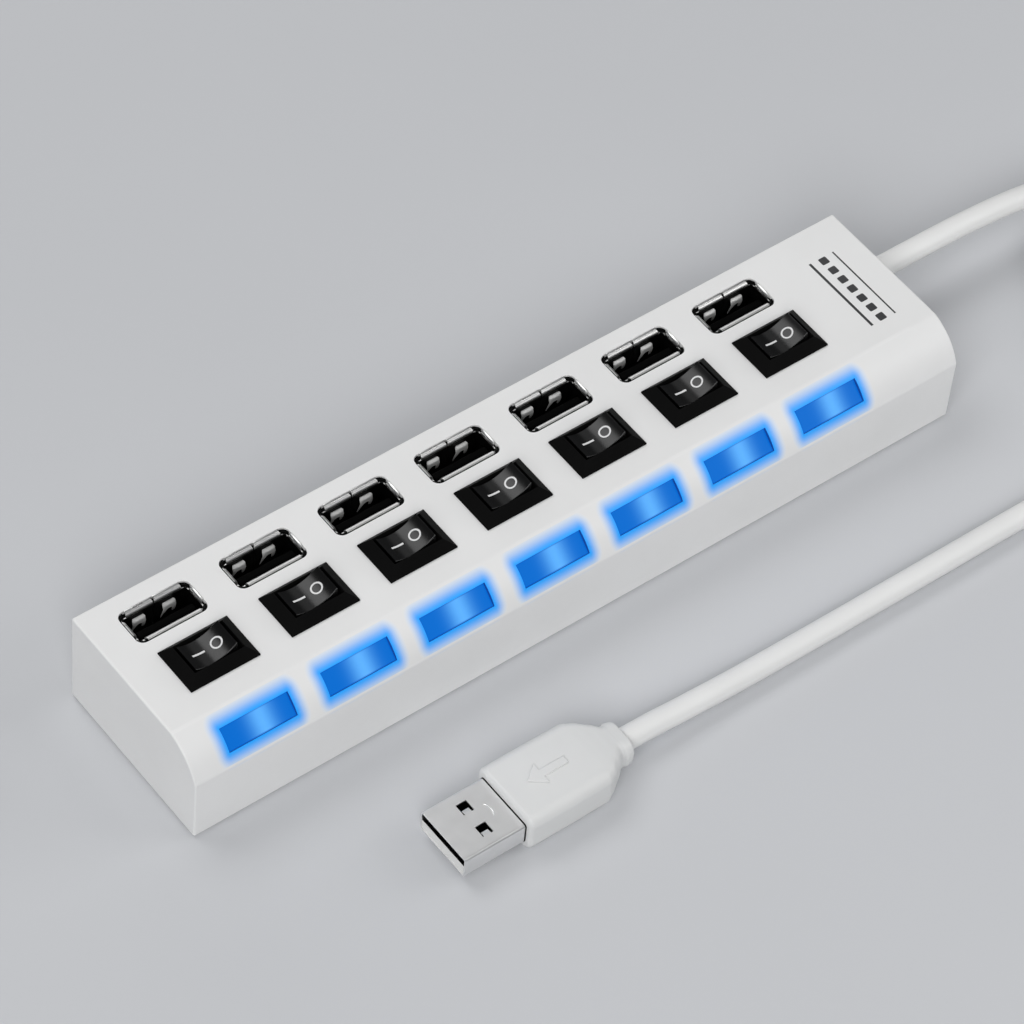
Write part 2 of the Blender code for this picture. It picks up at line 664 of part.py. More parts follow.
def smooth_route(points, spacing):
    """Even points along a smooth curve (Catmull-Rom) through the route's own points."""
    padded = [2 * points[0] - points[1], *points, 2 * points[-1] - points[-2]]
    fine = []
    fine_steps = 24
    for i in range(1, len(padded) - 2):
        before, start, end, after = padded[i - 1:i + 3]
        for k in range(fine_steps):
            t = k / fine_steps
            fine.append(0.5 * (2 * start + (end - before) * t
                               + (2 * before - 5 * start + 4 * end - after) * t * t
                               + (3 * start - before - 3 * end + after) * t ** 3))
    fine.append(points[-1])
    run = [0.0]
    for first, second in zip(fine, fine[1:]):
        run.append(run[-1] + (second - first).length)
    count = max(2, round(run[-1] / spacing))
    even = []
    k = 0
    for i in range(count + 1):
        target = run[-1] * i / count
        while k < len(run) - 2 and run[k + 1] < target:
            k += 1
        share = (target - run[k]) / (run[k + 1] - run[k])
        even.append(fine[k].lerp(fine[k + 1], share))
    return even


def make_cable(name, route, materials):
    points = smooth_route(route, CABLE_POINT_SPACING)
    curve = bpy.data.curves.new(name, "CURVE")
    curve.dimensions = "3D"
    curve.bevel_depth = CABLE_RADIUS
    curve.bevel_resolution = 2
    curve.use_fill_caps = True
    spline = curve.splines.new("POLY")
    spline.points.add(len(points) - 1)
    for target, point in zip(spline.points, points):
        target.co = (*point, 1.0)
    curve.materials.append(materials["cable"])
    obj = bpy.data.objects.new(name, curve)
    bpy.context.scene.collection.objects.link(obj)


def make_cable_bush(materials):
    """The sleeve in the end wall, gripped by its groove, that the cable comes out of."""
    bore = CABLE_RADIUS + GAP
    profile = [*BUSH_PROFILE, (BUSH_PROFILE[-1][0], bore), (BUSH_PROFILE[0][0], bore)]
    rings = []
    for x, radius in profile:
        rings.append([(x, CABLE_EXIT_Y + y, CABLE_EXIT_Z + z) for y, z in circle(radius)])
    builder = bmesh.new()
    add_closed_loft(builder, rings)
    add_object("cable_bush", builder, materials["cable"], math.radians(35))


def make_coil(materials):
    """The outer shape of the wound cable: a ring with rounded corners."""
    middle = (COIL_BOTTOM + COIL_TOP) / 2
    section = rounded_rectangle(2 * COIL_HALF_WIDTH, COIL_TOP - COIL_BOTTOM, CABLE_RADIUS, 2)
    turns = 48
    rings = []
    for i in range(turns):
        angle = math.tau * i / turns
        direction = Vector((math.cos(angle), math.sin(angle), 0.0))
        ring = []
        for out, up in section:
            ring.append(COIL_CENTRE + direction * (COIL_RADIUS + out) + Vector((0.0, 0.0, middle + up)))
        rings.append(ring)
    builder = bmesh.new()
    add_closed_loft(builder, rings)
    add_object("cable_coil", builder, materials["cable"], math.radians(50))


def make_cable_tie(materials):
    """A flat band round the coil, on its far side from the hub."""
    height = COIL_BOTTOM - GAP
    inner_half = COIL_HALF_WIDTH + GAP
    centre = COIL_CENTRE.x + COIL_RADIUS
    levels = {
        "outer": (height - TIE_THICKNESS, COIL_TOP + GAP + TIE_THICKNESS, inner_half + TIE_THICKNESS),
        "inner": (height, COIL_TOP + GAP, inner_half),
    }
    loops = {}
    for name, (low, high, half) in levels.items():
        loops[name] = [(centre - half, low), (centre + half, low), (centre + half, high), (centre - half, high)]
    rings = []
    for loop, y in (("outer", -1), ("outer", 1), ("inner", 1), ("inner", -1)):
        rings.append([(x, COIL_CENTRE.y + y * TIE_WIDTH / 2, z) for x, z in loops[loop]])
    builder = bmesh.new()
    add_closed_loft(builder, rings)
    add_object("cable_tie", builder, materials["tie"])


def make_plug_overmould(materials):
    rings = []
    for x, width, height, radius in OVERMOULD_SECTIONS:
        outline = rounded_rectangle(width, height, radius)
        rings.append([(x, PLUG_Y + y, PLUG_Z + z) for y, z in outline])
    builder = bmesh.new()
    add_loft(builder, rings)
    add_object("plug_overmould", builder, materials["cable"], math.radians(35))


def make_plug_shell(materials):
    outer = rounded_rectangle(PLUG_SHELL_WIDTH, PLUG_SHELL_HEIGHT, 2 * SHELL_WALL, 2)
    inner = rounded_rectangle(PLUG_SHELL_WIDTH - 2 * SHELL_WALL, PLUG_SHELL_HEIGHT - 2 * SHELL_WALL,
                              SHELL_WALL, 2)
    rings = []
    for outline, x in ((outer, PLUG_MOUTH_X), (outer, PLUG_SHELL_REAR_X),
                       (inner, PLUG_SHELL_REAR_X), (inner, PLUG_MOUTH_X)):
        rings.append([(x, PLUG_Y + y, PLUG_Z + z) for y, z in outline])
    builder = bmesh.new()
    add_closed_loft(builder, rings)
    shell = add_object("plug_shell", builder, materials["steel"], math.radians(40))

    builder = bmesh.new()
    window = rectangle(PLUG_WINDOW[0] / 2, PLUG_WINDOW[1] / 2)
    for side in (-1, 1):
        place = (PLUG_MOUTH_X + PLUG_WINDOW_FROM_MOUTH, PLUG_Y + side * PLUG_WINDOW_OFFSET)
        add_upright(builder, window, 0.0, 2 * PLUG_Z, place)
    combine(shell, add_cutter("plug_shell_windows", builder), "DIFFERENCE")


def make_plug_tongue(materials):
    """The insulator that carries the contacts, against the lower wall of the plug's shell."""
    bottom = PLUG_Z - PLUG_SHELL_HEIGHT / 2 + SHELL_WALL + GAP
    half_width = PLUG_SHELL_WIDTH / 2 - SHELL_WALL - GAP
    start = PLUG_MOUTH_X + 2 * GAP
    end = PLUG_SHELL_REAR_X - GAP
    builder = bmesh.new()
    outline = rectangle((end - start) / 2, half_width)
    add_upright(builder, outline, bottom, bottom + PLUG_TONGUE_THICKNESS, ((start + end) / 2, PLUG_Y))
    add_object("plug_tongue", builder, materials["plug_insert"])


# ---------------------------------------------------------------- assembly

def make_port_row(materials):
    for n in range(PORT_COUNT):
        make_usb_shell(n, materials)
        make_usb_tongue(n, materials)
        make_switch_housing(n, materials)
        make_rocker(n, materials)
        make_light_lens(n, materials)
        make_led(n, materials)


def main():
    clear_scene()
    materials = make_materials()
    make_upper_case(materials)
    make_bottom_cover(materials)
    make_screws(materials)
    make_feet(materials)
    make_board(materials)
    make_chip(materials)
    make_port_row(materials)
    make_cable_bush(materials)
    make_cable("cable_from_hub", HUB_SIDE_ROUTE, materials)
    make_coil(materials)
    make_cable_tie(materials)
    make_cable("cable_to_plug", PLUG_SIDE_ROUTE, materials)
    make_plug_overmould(materials)
    make_plug_shell(materials)
    make_plug_tongue(materials)


main()
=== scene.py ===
"""Looks of the seven-port USB hub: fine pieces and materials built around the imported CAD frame."""

import json
from functools import partial
from math import cos, exp, pi, radians, sin, sqrt, tau

import bmesh
import bpy
import numpy as np
from mathutils import Euler, Matrix, Vector
from mathutils.geometry import interpolate_bezier


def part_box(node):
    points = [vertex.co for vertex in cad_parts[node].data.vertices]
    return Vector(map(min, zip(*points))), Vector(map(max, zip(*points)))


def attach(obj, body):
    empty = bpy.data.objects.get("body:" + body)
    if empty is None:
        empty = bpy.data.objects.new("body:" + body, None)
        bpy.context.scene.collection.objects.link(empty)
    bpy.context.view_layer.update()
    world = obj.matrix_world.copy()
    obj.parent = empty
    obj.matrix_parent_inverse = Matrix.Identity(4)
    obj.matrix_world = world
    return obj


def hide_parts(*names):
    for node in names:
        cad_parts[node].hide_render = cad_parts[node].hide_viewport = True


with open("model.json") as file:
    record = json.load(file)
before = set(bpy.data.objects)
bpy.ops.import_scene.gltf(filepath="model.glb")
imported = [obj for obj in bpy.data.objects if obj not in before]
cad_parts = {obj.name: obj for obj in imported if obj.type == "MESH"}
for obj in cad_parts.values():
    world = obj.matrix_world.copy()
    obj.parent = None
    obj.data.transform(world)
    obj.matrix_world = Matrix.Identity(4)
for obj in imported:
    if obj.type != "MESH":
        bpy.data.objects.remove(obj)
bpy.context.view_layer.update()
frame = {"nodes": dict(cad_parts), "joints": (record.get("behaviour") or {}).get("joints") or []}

MM = 0.001
HUB = "hub"
PORT_COUNT = 7
CASE_LOW, CASE_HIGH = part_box("upper_case")
CASE_TOP = CASE_HIGH.z
CASE_BOTTOM = CASE_LOW.z
HALF_LENGTH = (CASE_HIGH.x - CASE_LOW.x) / 2
HALF_DEPTH = (CASE_HIGH.y - CASE_LOW.y) / 2

# Case: sloping strip along the front, walls and openings
CREASE_Y = -10.6 * MM
FRONT_WALL_TOP = 14.0 * MM
SLOPE_BULGE = 1.15 * MM
WALL = 2.0 * MM
EDGE_ROUND = 0.35 * MM
OPENING_ROUND = 0.08 * MM
PORT_HOLE = (13.95 * MM, 7.35 * MM, 1.4 * MM)    # width, depth, corner radius
SWITCH_HOLE = (12.8 * MM, 9.0 * MM)
WINDOW = (13.45 * MM, 4.3 * MM)
WINDOW_DOWN_SLOPE = 0.53
LENS_RISE = 0.55 * MM           # above the straight line between the strip's two edges
BUSH_HOLE_RADIUS = 3.45 * MM
BOSS_X = 75.4 * MM
BOSS_RADIUS = 2.3 * MM
BOSS_BOTTOM = 3.8 * MM

# Painted blue glow of the windows on the white plastic
HALO_REACH = 3.2 * MM
HALO_BESIDE = 1.25              # it fades this much faster past a window's ends

# Receptacles, measured from the middle of the mouth
SHELL_HALF = (6.55 * MM, 2.85 * MM)
SHELL_WALL = 0.28 * MM
SHELL_FOLD = 0.6 * MM
LIP_HALF = (5.5 * MM, 1.75 * MM)
LIP_ROOT = -0.62 * MM
LIP_REACH = (0.39 * MM, 0.78 * MM)               # how far the short and the long lips would roll out
LIP_RISE = 0.45 * MM
LIP_SWEEP = radians(84)
SEAM_HALF = 0.09 * MM
TONGUE_TIP = -1.3 * MM
CONTACT_PLACES = (-3.5 * MM, -1.0 * MM, 1.0 * MM, 3.5 * MM)
CONTACT_HALF = 0.5 * MM

# Rocker switches
BEZEL_TOP = 22.4 * MM
BEZEL_RIM = (9.95 * MM, 6.55 * MM)
BEZEL_WELL = (9.65 * MM, 6.25 * MM)
ROCKER_TILT = radians(9.5)
ROCKER_HALF_LENGTH = 4.1 * MM
ROCKER_HALF_WIDTH = 2.85 * MM
ROCKER_END_HEIGHT = 2.35 * MM
ROCKER_MIDDLE_HEIGHT = 0.95 * MM
MARK_LIFT = 0.03 * MM

# Cable
CABLE_RADIUS = 2.15 * MM
COIL_LOW, COIL_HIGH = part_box("cable_coil")
COIL_CENTRE = (COIL_LOW + COIL_HIGH) / 2
COIL_RADIUS = (COIL_HIGH.x - COIL_LOW.x) / 2 - 2 * CABLE_RADIUS
HUB_SIDE_ROUTE = [Vector((x * MM, y * MM, z * MM)) for x, y, z in (
    (75.5, 9.0, 11.0), (84.0, 9.0, 11.0), (93.0, 9.0, 11.0), (102.0, 9.0, 10.9),
    (110.0, 8.9, 10.6), (117.0, 8.7, 10.1), (122.9, 8.4, 9.4), (131.0, 8.3, 8.3),
)]
PLUG_SIDE_ROUTE = [Vector((x * MM, y * MM, z * MM)) for x, y, z in (
    (129.0, -45.8, 2.15), (120.2, -45.3, 2.15), (110.0, -44.8, 2.15), (95.0, -44.1, 2.15),
    (76.0, -43.8, 2.15), (55.0, -43.8, 2.15), (30.0, -43.8, 2.2), (12.0, -43.8, 2.5),
    (0.0, -43.8, 3.2), (-7.0, -43.8, 3.8), (-13.0, -43.8, 4.0),
)]

# Plug
PLUG_Y = -43.8 * MM
PLUG_Z = 4.05 * MM
PLUG_LOW, PLUG_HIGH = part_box("plug_shell")
PLUG_REAR = PLUG_HIGH.x + 0.3 * MM               # the shell runs on into the grip
PLUG_WALL = 0.3 * MM
PLUG_CORNER = 0.55 * MM
GRIP_SECTIONS = [[value * MM for value in section] for section in (
    (-36.9, 14.6, 8.1, 2.0),    # place along the grip, width, height, corner radius
    (-28.5, 14.6, 8.1, 2.0),
    (-21.2, 14.4, 8.1, 2.0),
    (-19.6, 12.8, 7.9, 2.0),
    (-17.5, 9.9, 7.4, 2.2),
    (-15.8, 7.2, 6.7, 2.3),
    (-15.1, 7.2, 6.4, 2.3),
    (-14.6, 7.7, 6.2, 2.3),
    (-13.7, 7.4, 5.9, 2.3),
)]
GRIP_FRONT_ROUND = 0.8 * MM
GRIP_END_ROUND = 0.4 * MM

# Softboxes: name, direction that the light comes from, distance, width and height, watts
LIGHTS = (
    ("key", (-0.20, 0.50, 0.85), 1.0, (0.7, 0.5), 3.2),
    ("front_left_fill", (-0.60, -0.50, 0.63), 1.25, (0.8, 0.6), 9.0),
    ("metal_card", (0.43, 0.47, 0.77), 1.0, (0.4, 0.4), 0.25),
    ("low_card", (0.40, 0.98, 0.28), 1.1, (0.6, 0.6), 1.2),
    ("crease_light", (0.43, -0.17, 0.89), 1.0, (0.2, 0.2), 0.3),
    ("right_fill", (0.80, -0.45, 0.45), 0.6, (0.4, 0.4), 0.95),
    ("lip_card", (0.43, -0.60, 0.68), 1.0, (0.5, 0.4), 0.4),
)


# -------- places, read from the frame

def middle_of(node):
    low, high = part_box(node)
    return (low + high) / 2


def port_mouth(n):
    """Middle of a port's mouth, level with the top face."""
    centre = middle_of(f"usb_shell_{n + 1}")
    return Vector((centre.x, centre.y, CASE_TOP))


def rocker_pivot(n):
    return Vector(frame["joints"][n]["pos_m"])


def slope_down():
    return Vector((0.0, -HALF_DEPTH - CREASE_Y, FRONT_WALL_TOP - CASE_TOP)).normalized()


def slope_outward():
    down = slope_down()
    return Vector((0.0, down.z, -down.y))


def slope_point(fraction, rise=0.0):
    """A point this far down the straight line across the sloping strip, and above it."""
    top = Vector((0.0, CREASE_Y, CASE_TOP))
    foot = Vector((0.0, -HALF_DEPTH, FRONT_WALL_TOP))
    return top.lerp(foot, fraction) + slope_outward() * rise


def window_centre(n):
    """Middle of a window's opening, on the straight line across the sloping strip."""
    place = slope_point(WINDOW_DOWN_SLOPE)
    place.x = middle_of(f"light_lens_{n + 1}").x
    return place


# -------- outlines and curves

def rectangle(width, depth):
    x, y = width / 2, depth / 2
    return [(-x, -y), (x, -y), (x, y), (-x, y)]


def corner_arc(width, height, radius, side_x, side_y, start, steps):
    centre_x = side_x * (width / 2 - radius)
    centre_y = side_y * (height / 2 - radius)
    points = []
    for i in range(steps + 1):
        angle = pi * (start + 0.5 * i / steps)
        points.append((centre_x + radius * cos(angle), centre_y + radius * sin(angle)))
    return points


CORNERS = ((1, 1, 0.0), (-1, 1, 0.5), (-1, -1, 1.0), (1, -1, 1.5))


def rounded_rectangle(width, height, radius, steps=6):
    points = []
    for corner in CORNERS:
        points.extend(corner_arc(width, height, radius, *corner, steps))
    return points


def circle(radius, sides=48):
    return [(radius * cos(tau * i / sides), radius * sin(tau * i / sides))
            for i in range(sides)]


def smooth_step(value, start, end):
    share = min(1.0, max(0.0, (value - start) / (end - start)))
    return share * share * (3 - 2 * share)


# -------- solids, each a stack of rings of points

def upright(outline, bottom, top, centre=(0.0, 0.0)):
    return [[(centre[0] + x, centre[1] + y, z) for x, y in outline] for z in (bottom, top)]


def along_x(outline, start, end):
    return [[(x, y, z) for y, z in outline] for x in (start, end)]


def along_y(outline, start, end):
    return [[(x, y, z) for x, z in outline] for y in (start, end)]


def box(low, high):
    size = (high[0] - low[0], high[1] - low[1])
    centre = ((high[0] + low[0]) / 2, (high[1] + low[1]) / 2)
    return upright(rectangle(*size), low[2], high[2], centre)


def bridge(builder, first_ring, second_ring, closed=True):
    count = len(first_ring)
    for i in range(count if closed else count - 1):
        j = (i + 1) % count
        builder.faces.new((first_ring[i], first_ring[j], second_ring[j], second_ring[i]))


def add_loft(builder, rings, closed=False):
    """Skin through rings of points: capped at both ends or, if closed, from the last back to the first."""
    rows = [[builder.verts.new(point) for point in ring] for ring in rings]
    for first_ring, second_ring in zip(rows, rows[1:]):
        bridge(builder, first_ring, second_ring)
    if closed:
        bridge(builder, rows[-1], rows[0])
    else:
        builder.faces.new(rows[0][::-1])
        builder.faces.new(rows[-1])


def lofted(*solids, closed=False):
    builder = bmesh.new()
    for rings in solids:
        add_loft(builder, rings, closed)
    return builder


# -------- meshes and pieces

def link_object(name, mesh):
    obj = bpy.data.objects.new(name, mesh)
    bpy.context.scene.collection.objects.link(obj)
    return obj


def build_mesh(name, builder, materials=()):
    bmesh.ops.recalc_face_normals(builder, faces=builder.faces)
    mesh = bpy.data.meshes.new(name)
    builder.to_mesh(mesh)
    builder.free()
    for material in materials:
        mesh.materials.append(MATERIALS[material])
    return mesh


def modify(obj, kind, **settings):
    modifier = obj.modifiers.new(kind, kind)
    for key, value in settings.items():
        setattr(modifier, key, value)


def add_bevel(obj, width, segments, angle):
    modify(obj, "BEVEL", width=width, segments=segments, limit_method="ANGLE",
           angle_limit=radians(angle))


def cut_away(obj, solids):
    """Take the solids out of the piece, as its next modifier. Returns the cutter."""
    cutter = link_object("cutter", build_mesh("cutter", lofted(*solids)))
    modify(obj, "BOOLEAN", operation="DIFFERENCE", solver="EXACT", object=cutter)
    return cutter


def apply_modifiers(obj, sharp, cutters):
    """The object's evaluated mesh, smooth up to an angle. The object and its cutters are removed."""
    bpy.context.view_layer.update()
    graph = bpy.context.evaluated_depsgraph_get()
    mesh = bpy.data.meshes.new_from_object(obj.evaluated_get(graph))
    for used in (obj, *cutters):
        bpy.data.objects.remove(used, do_unlink=True)
    builder = bmesh.new()
    builder.from_mesh(mesh)
    bmesh.ops.dissolve_degenerate(builder, dist=0.0005 * MM, edges=builder.edges)
    builder.to_mesh(mesh)
    builder.free()
    mesh.shade_smooth()
    mesh.set_sharp_from_angle(angle=radians(sharp))
    return mesh


def finished_mesh(name, builder, *materials, rounding=None, sheet=None, cutters=(), sharp=34.0):
    """A bmesh given its sheet (thickness, offset), openings and rounded edges (width, segments, angle)."""
    obj = link_object(name, build_mesh(name, builder, materials))
    if sheet:
        modify(obj, "SOLIDIFY", thickness=sheet[0], offset=sheet[1])
    tools = [cut_away(obj, solids) for solids in cutters]
    if rounding:
        add_bevel(obj, *rounding)
    return apply_modifiers(obj, sharp, tools)


def place_piece(name, mesh, replaces=(), place=(0.0, 0.0, 0.0), turn=(0.0, 0.0, 0.0), body=HUB):
    """A mesh as a named piece that rides on a body and stands for CAD nodes."""
    obj = link_object(name, mesh)
    obj.location = place
    obj.rotation_euler = turn
    modify(obj, "WEIGHTED_NORMAL", keep_sharp=True)
    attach(obj, body)
    if replaces:
        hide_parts(*replaces)
    return obj


def make_piece(name, builder, material, slot, replaces=(), **finish):
    """A piece of the hub's body that is modelled in its place."""
    return place_piece(name, finished_mesh(name, builder, material, **finish), replaces)


# -------- camera, floor and lights

def make_camera():
    """A long lens at the front left and above, rolled a little."""
    azimuth = radians(-42.04)
    elevation = radians(50.38)
    roll = radians(6.16)
    distance = 0.8382
    aim = Vector((1.454, 5.317, 4.076)) * MM
    turn = Euler((pi / 2 - elevation, 0.0, azimuth)).to_matrix() @ Matrix.Rotation(roll, 3, "Z")
    camera = link_object("camera", bpy.data.cameras.new("camera"))
    camera.data.lens = 172.2
    camera.data.sensor_width = 36.0
    camera.data.clip_start = 0.05
    camera.data.clip_end = 20.0
    camera.matrix_world = Matrix.Translation(aim + turn.col[2] * distance) @ turn.to_4x4()
    bpy.context.scene.camera = camera


def add_area_light(name, direction, distance, size, power):
    """A softbox that faces the hub."""
    light = bpy.data.lights.new(name, "AREA")
    light.shape = "RECTANGLE"
    light.size, light.size_y = size
    light.energy = power
    direction = Vector(direction).normalized()
    obj = link_object(name, light)
    obj.location = direction * distance
    obj.rotation_euler = (-direction).to_track_quat("-Z", "Y").to_euler()


def make_stage():
    """Pale paper, a faint even sky and the softboxes."""
    scene = bpy.context.scene
    scene.view_settings.view_transform = "Standard"
    paint = Paint("floor_paper")
    paint.set("Roughness", 0.85)
    paint.mottle((0.57, 0.58, 0.60), (0.60, 0.61, 0.63), scale=4.0)
    width = 12.0
    mesh = bpy.data.meshes.new("floor")
    mesh.from_pydata([(x, y, 0.0) for x, y in rectangle(width, width)], [], [(0, 1, 2, 3)])
    mesh.materials.append(paint.material)
    link_object("floor", mesh)

    world = bpy.data.worlds.new("studio")
    world.use_nodes = True
    sky = world.node_tree.nodes["Background"]
    sky.inputs["Color"].default_value = (0.86, 0.88, 0.92, 1.0)
    sky.inputs["Strength"].default_value = 0.13
    scene.world = world
    for light in LIGHTS:
        add_area_light(*light)


# -------- materials

EVEN = (1.0, 1.0, 1.0)


class Paint:
    """A Principled material, with short calls for the nodes that give it its detail.

    Patterns are read from object coordinates, in metres, so they stay with a piece as it moves.
    """

    def __init__(self, name):
        self.material = bpy.data.materials.new(name)
        self.material.use_nodes = True
        self.nodes = self.material.node_tree.nodes
        self.links = self.material.node_tree.links
        self.shader = self.nodes["Principled BSDF"]
        self.place = self.nodes.new("ShaderNodeTexCoord").outputs["Object"]

    def set(self, socket, value):
        self.fill(self.shader.inputs[socket], value)

    def fill(self, socket, value):
        """A link, a number or a colour on a node's input."""
        if isinstance(value, bpy.types.NodeSocket):
            self.links.new(value, socket)
        else:
            socket.default_value = (*value, 1.0) if isinstance(value, tuple) else value

    def add(self, kind, *values, **settings):
        """A node with its settings and the values of its first inputs."""
        node = self.nodes.new(kind)
        for key, value in settings.items():
            setattr(node, key, value)
        for socket, value in zip(node.inputs, values):
            self.fill(socket, value)
        return node

    def math(self, operation, *values):
        return self.add("ShaderNodeMath", *values, operation=operation).outputs[0]

    def coordinates(self):
        return self.add("ShaderNodeSeparateXYZ", self.place).outputs

    def noise(self, scale, stretch=EVEN):
        """Noise with this many features to a metre."""
        mapping = self.add("ShaderNodeMapping", self.place)
        mapping.inputs["Scale"].default_value = stretch
        node = self.add("ShaderNodeTexNoise", mapping.outputs[0])
        node.inputs["Scale"].default_value = scale
        node.inputs["Detail"].default_value = 3.0
        return node.outputs["Fac"]

    def spread(self, value, low, high, start=0.3, end=0.7):
        """The value, taken from start..end to low..high and held there."""
        return self.add("ShaderNodeMapRange", value, start, end, low, high).outputs[0]

    def blend(self, share, first, second):
        """A colour between two, each a tuple or a link."""
        node = self.add("ShaderNodeMix", share, data_type="RGBA")
        self.fill(node.inputs[6], first)
        self.fill(node.inputs[7], second)
        return node.outputs[2]

    def mottle(self, first, second, scale):
        """The base colour, wandering between two. A grey may be one number."""
        first, second = ((tone, tone, tone) if isinstance(tone, float) else tone for tone in (first, second))
        self.set("Base Color", self.blend(self.spread(self.noise(scale), 0.0, 1.0), first, second))

    def vary_roughness(self, low, high, scale, stretch=EVEN):
        self.set("Roughness", self.spread(self.noise(scale, stretch), low, high))

    def bump(self, height, depth):
        node = self.add("ShaderNodeBump")
        node.inputs["Distance"].default_value = depth
        self.fill(node.inputs["Height"], height)
        self.set("Normal", node.outputs[0])

    def grain(self, scale, depth, stretch=EVEN):
        self.bump(self.noise(scale, stretch), depth)


def moulded(name, dark, light, roughness, grain, grain_scale=5500.0, gloss=0.5, uneven=0.06):
    """Moulded plastic: faint mottling, uneven gloss and a fine spark-eroded grain, so many mm deep."""
    paint = Paint(name)
    paint.mottle(dark, light, scale=70.0)
    paint.vary_roughness(roughness - uneven, roughness + uneven, scale=900.0)
    paint.set("Specular IOR Level", gloss)
    paint.grain(grain_scale, grain * MM)
    return paint.material


def metal(name, dark, light, low, high, stretch, grain=0.0006, share=1.0):
    """Plated metal with fine drawing lines, so many mm deep; the rest of `share` is a dull film."""
    paint = Paint(name)
    paint.set("Metallic", share)
    paint.mottle(dark, light, scale=350.0)
    paint.vary_roughness(low, high, scale=1400.0, stretch=stretch)
    paint.grain(3200.0, grain * MM, stretch=stretch)
    return paint.material


def distance_from_windows(paint):
    """Shader values: how far a point lies from the nearest window, and how far outside its opening."""
    calc = paint.math
    x, y, z = paint.coordinates()
    first_x = window_centre(0).x
    pitch = window_centre(1).x - first_x
    turn = calc("ROUND", calc("DIVIDE", calc("SUBTRACT", x, first_x), pitch))
    turn = calc("MINIMUM", calc("MAXIMUM", turn, 0.0), PORT_COUNT - 1.0)
    nearest_x = calc("ADD", first_x, calc("MULTIPLY", turn, pitch))
    across = calc("ABSOLUTE", calc("SUBTRACT", x, nearest_x))

    middle, down, out = window_centre(0), slope_down(), slope_outward()
    from_y = calc("SUBTRACT", y, middle.y)
    from_z = calc("SUBTRACT", z, middle.z)
    along = calc("ADD", calc("MULTIPLY", from_y, down.y), calc("MULTIPLY", from_z, down.z))
    above = calc("ADD", calc("MULTIPLY", from_y, out.y), calc("MULTIPLY", from_z, out.z))

    def beyond(value, limit):
        return calc("MAXIMUM", calc("SUBTRACT", value, limit), 0.0)

    gap_across = beyond(across, WINDOW[0] / 2)
    gap_along = beyond(calc("ABSOLUTE", along), WINDOW[1] / 2)
    outside = calc("MAXIMUM", gap_across, gap_along)
    surface, play = 0.9 * MM, 0.3 * MM
    off_strip = beyond(calc("ABSOLUTE", calc("SUBTRACT", above, surface)), play)
    total = 0.0
    for gap, weight in ((gap_across, HALO_BESIDE), (gap_along, 1.0), (off_strip, 0.6)):
        gap = calc("MULTIPLY", gap, weight)
        total = calc("ADD", total, calc("MULTIPLY", gap, gap))
    return calc("SQRT", total), outside


def case_paint():
    """White satin plastic with a painted blue glow round each window, in its colour and its emission, and
    painted dark-blue shade on the openings' walls.
    """
    paint = Paint("case_white_plastic")
    calc = paint.math
    white = paint.blend(paint.spread(paint.noise(55.0), 0.0, 1.0), (0.805, 0.805, 0.80), (0.84, 0.84, 0.835))
    distance, outside = distance_from_windows(paint)
    near = paint.spread(distance, 1.0, 0.0, 0.0, HALO_REACH)
    eased = calc("SUBTRACT", 3.0, calc("MULTIPLY", near, 2.0))
    painted_glow = calc("MULTIPLY", calc("MULTIPLY", near, near), eased)
    in_opening = paint.spread(outside, 1.0, 0.0, 0.02 * MM, 0.04 * MM)
    # Painted glow: the white is tinted blue near each window
    painted_glow_white = paint.blend(painted_glow, white, (0.015, 0.25, 0.80))
    # Painted shade: the walls of each opening are dark blue
    paint.set("Base Color", paint.blend(in_opening, painted_glow_white, (0.01, 0.06, 0.35)))
    paint.set("Emission Color", (0.0, 0.46, 1.0))
    # Painted glow: the plastic emits blue round each window, less on the openings' walls
    glow = calc("MULTIPLY", near, paint.spread(in_opening, 0.32, 0.04, 0.0, 1.0))
    paint.set("Emission Strength", glow)
    paint.vary_roughness(0.36, 0.48, scale=900.0)
    paint.set("Specular IOR Level", 0.45)
    paint.grain(5500.0, 0.005 * MM)
    return paint.material


def lens_paint():
    """Blue translucent window, brightest across its middle, where its diode shines."""
    paint = Paint("lit_window_blue")
    paint.set("Base Color", (0.001, 0.01, 0.05))
    paint.set("Roughness", 0.28)
    calc = paint.math
    x, run = paint.coordinates()[:2]
    bright_x, spread = 0.82 * MM, 1.6 * MM
    off_centre = calc("DIVIDE", calc("SUBTRACT", x, bright_x), spread)
    squared = calc("MULTIPLY", off_centre, off_centre)
    bell = calc("EXPONENT", calc("MULTIPLY", squared, -0.5))
    frost = paint.spread(paint.noise(1500.0), 0.95, 1.0)
    glow = paint.blend(calc("MULTIPLY", bell, frost), (0.0, 0.145, 0.60), (0.117, 0.45, 0.98))
    half_x, half_run = WINDOW[0] / 2, WINDOW[1] / 2
    border = 0.30 * MM
    edge_x = paint.spread(calc("ABSOLUTE", x), 0.0, 1.0, half_x - border, half_x)
    edge_run = paint.spread(calc("ABSOLUTE", run), 0.0, 1.0, half_run - border, half_run)
    rim = calc("MULTIPLY", calc("MAXIMUM", edge_x, edge_run), 0.8)
    paint.set("Emission Color", paint.blend(rim, glow, (0.002, 0.10, 0.52)))
    paint.set("Emission Strength", 1.0)
    paint.set("Specular IOR Level", 0.12)
    paint.grain(2600.0, 0.004 * MM)
    return paint.material


def board_paint():
    """Green solder mask over a net of copper tracks."""
    paint = Paint("board_solder_mask")
    paint.set("Roughness", 0.38)
    node = paint.add("ShaderNodeTexBrick", paint.place)
    node.inputs["Scale"].default_value = 300.0
    node.inputs["Mortar Size"].default_value = 0.06
    tracks = node.outputs["Fac"]
    paint.set("Base Color", paint.blend(tracks, (0.012, 0.12, 0.045), (0.03, 0.26, 0.09)))
    paint.bump(tracks, 0.03 * MM)
    return paint.material


